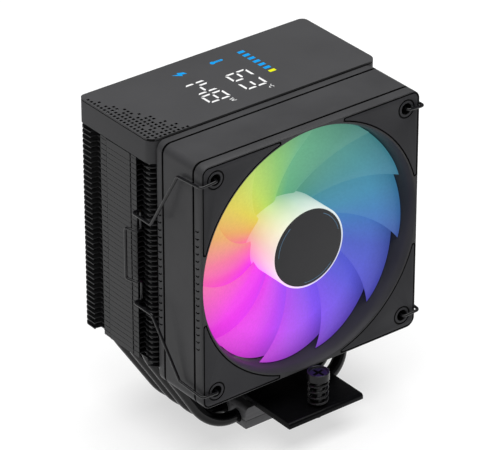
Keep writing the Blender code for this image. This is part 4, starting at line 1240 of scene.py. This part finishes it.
def winding_look():
    look = Look("enamelled_winding", 0.3, 1.0)
    bands = look.node("TexWave", {"Vector": look.place, "Scale": 900.0, "Distortion": 0.4}, "Fac",
                      wave_type="BANDS", bands_direction="Y")
    look.colour(look.ramp(bands, [(0.1, (0.22, 0.07, 0.02)), (0.8, (0.62, 0.26, 0.1))]))
    look.bump(bands, 0.6, 0.0001)
    return look.material


# ---------------- stage

def stage():
    shape = bmesh.new()
    bmesh.ops.create_grid(shape, x_segments=4, y_segments=4, size=3.0)
    floor = from_bmesh("floor", shape)
    floor.location = (0.0, 0.0, -0.0004)
    floor.data.materials.append(pale_floor())

    world = bpy.data.worlds.new("soft_white")
    bpy.context.scene.world = world
    world.use_nodes = True
    background = world.node_tree.nodes["Background"]
    background.inputs["Color"].default_value = (1.0, 1.0, 1.0, 1.0)
    background.inputs["Strength"].default_value = 0.16

    for name, spot, size, power in (
        ("overhead", (0.0, 0.0, 1.9), 2.4, 70.0),
        ("left_strip", (-1.3, -0.1, 0.9), 0.35, 0.6),
    ):
        light = bpy.data.lights.new(name, "AREA")
        light.shape = "SQUARE"
        light.size = size
        light.energy = power
        obj = new_object(name, light)
        obj.location = spot
        obj.rotation_euler = (LIGHT_AIM - Vector(spot)).to_track_quat("-Z", "Y").to_euler()

    camera = bpy.data.cameras.new("camera")
    camera.lens = 272.8
    camera.sensor_width = 36.0
    camera.clip_end = 20.0
    obj = new_object("camera", camera)
    obj.location = CAMERA_PLACE
    obj.rotation_euler = CAMERA_AIM.to_track_quat("-Z", "Y").to_euler()
    bpy.context.scene.camera = obj
    bpy.context.scene.view_settings.view_transform = "Standard"


def make_looks():
    return {
        "frame": moulded("fan_plastic", (0.041, 0.041, 0.043), 0.36, specular=0.1),
        "pad": moulded("pad_plastic", (0.034, 0.034, 0.037), 0.46, grain=1800.0, specular=0.08),
        "cover": moulded("cover_plastic", (0.048, 0.048, 0.050), 0.46, grain=2200.0, depth=0.00003,
                         spread=0.05, specular=0.08),
        # Near-black painted shade for the walls and floors of holes, grooves, pockets and gaps
        "hole": moulded("painted_gap_shade", (0.003, 0.003, 0.003), 0.7, specular=0.1),
        "cap": moulded("cap_plastic", (0.036, 0.036, 0.038), 0.5, grain=2400.0, depth=0.00003, spread=0.08,
                       specular=0.15),
        "arc": moulded("blue_print", (0.05, 0.14, 0.24), 0.35),
        "fin": brushed("coated_fin", (0.014, 0.014, 0.015), 0.34, "x", metallic=0.0, specular=0.2),
        "pipe": coated("plated_pipe", (0.002, 0.002, 0.0025), 0.09, specular=0.3),
        "block": brushed("satin_block", (0.14, 0.14, 0.145), 0.42, "x", metallic=0.3, specular=0.15),
        "nickel": brushed("ground_nickel", (0.42, 0.41, 0.40), 0.22, "y"),
        "bar": coated("gloss_bar", (0.003, 0.003, 0.0035), 0.2, specular=0.06),
        "screw": brushed("black_nickel", (0.012, 0.012, 0.013), 0.2, "z", metallic=0.4, specular=0.3),
        "spring": brushed("dark_spring", (0.010, 0.010, 0.011), 0.2, "z", metallic=0.3, specular=0.3),
        "wire": coated("coated_wire", (0.005, 0.005, 0.006), 0.16, specular=0.35),
        "blade": blade_look(),
        "hub": hub_look(),
        "white_light": lit("white_light", (252, 252, 252), 1.0),
        "blue_light": lit("blue_light", (10, 163, 242), 0.98),
        "yellow_light": lit("yellow_light", (240, 244, 22), 0.98),
        "tray": brushed("zinc_sheet", (0.34, 0.34, 0.35), 0.4, "x"),
        "board": circuit_board("dark_board", (0.010, 0.020, 0.016), (0.03, 0.05, 0.04)),
        "white_board": circuit_board("white_board", (0.7, 0.7, 0.7), (0.55, 0.55, 0.55)),
        "chip": moulded("moulded_chip", (0.015, 0.015, 0.015), 0.45, grain=3000.0),
        "socket": moulded("socket_plastic", (0.72, 0.69, 0.6), 0.45),
        "guide": moulded("light_guide", (0.75, 0.8, 0.86), 0.3, grain=500.0),
        "chip_clip": moulded("clip_plastic", (0.6, 0.6, 0.56), 0.5),
        "motor_steel": brushed("motor_steel", (0.42, 0.42, 0.43), 0.35, "y"),
        "ferrite": moulded("bonded_ferrite", (0.05, 0.05, 0.052), 0.6, grain=900.0, spread=0.3),
        "bronze": brushed("sintered_bronze", (0.5, 0.36, 0.16), 0.4, "y"),
        "winding": winding_look(),
    }


def main():
    stage()
    looks = make_looks()
    base_pieces(looks)
    heat_pipes(looks)
    crossbar(looks)
    spring_screws(looks)
    fin_stack(looks)
    top_panel(looks)
    cover_skirt(looks)
    display(looks)
    fan_frame(looks)
    corner_pads(looks)
    rotor(looks)
    clips(looks)
    carried_over(looks)


main()
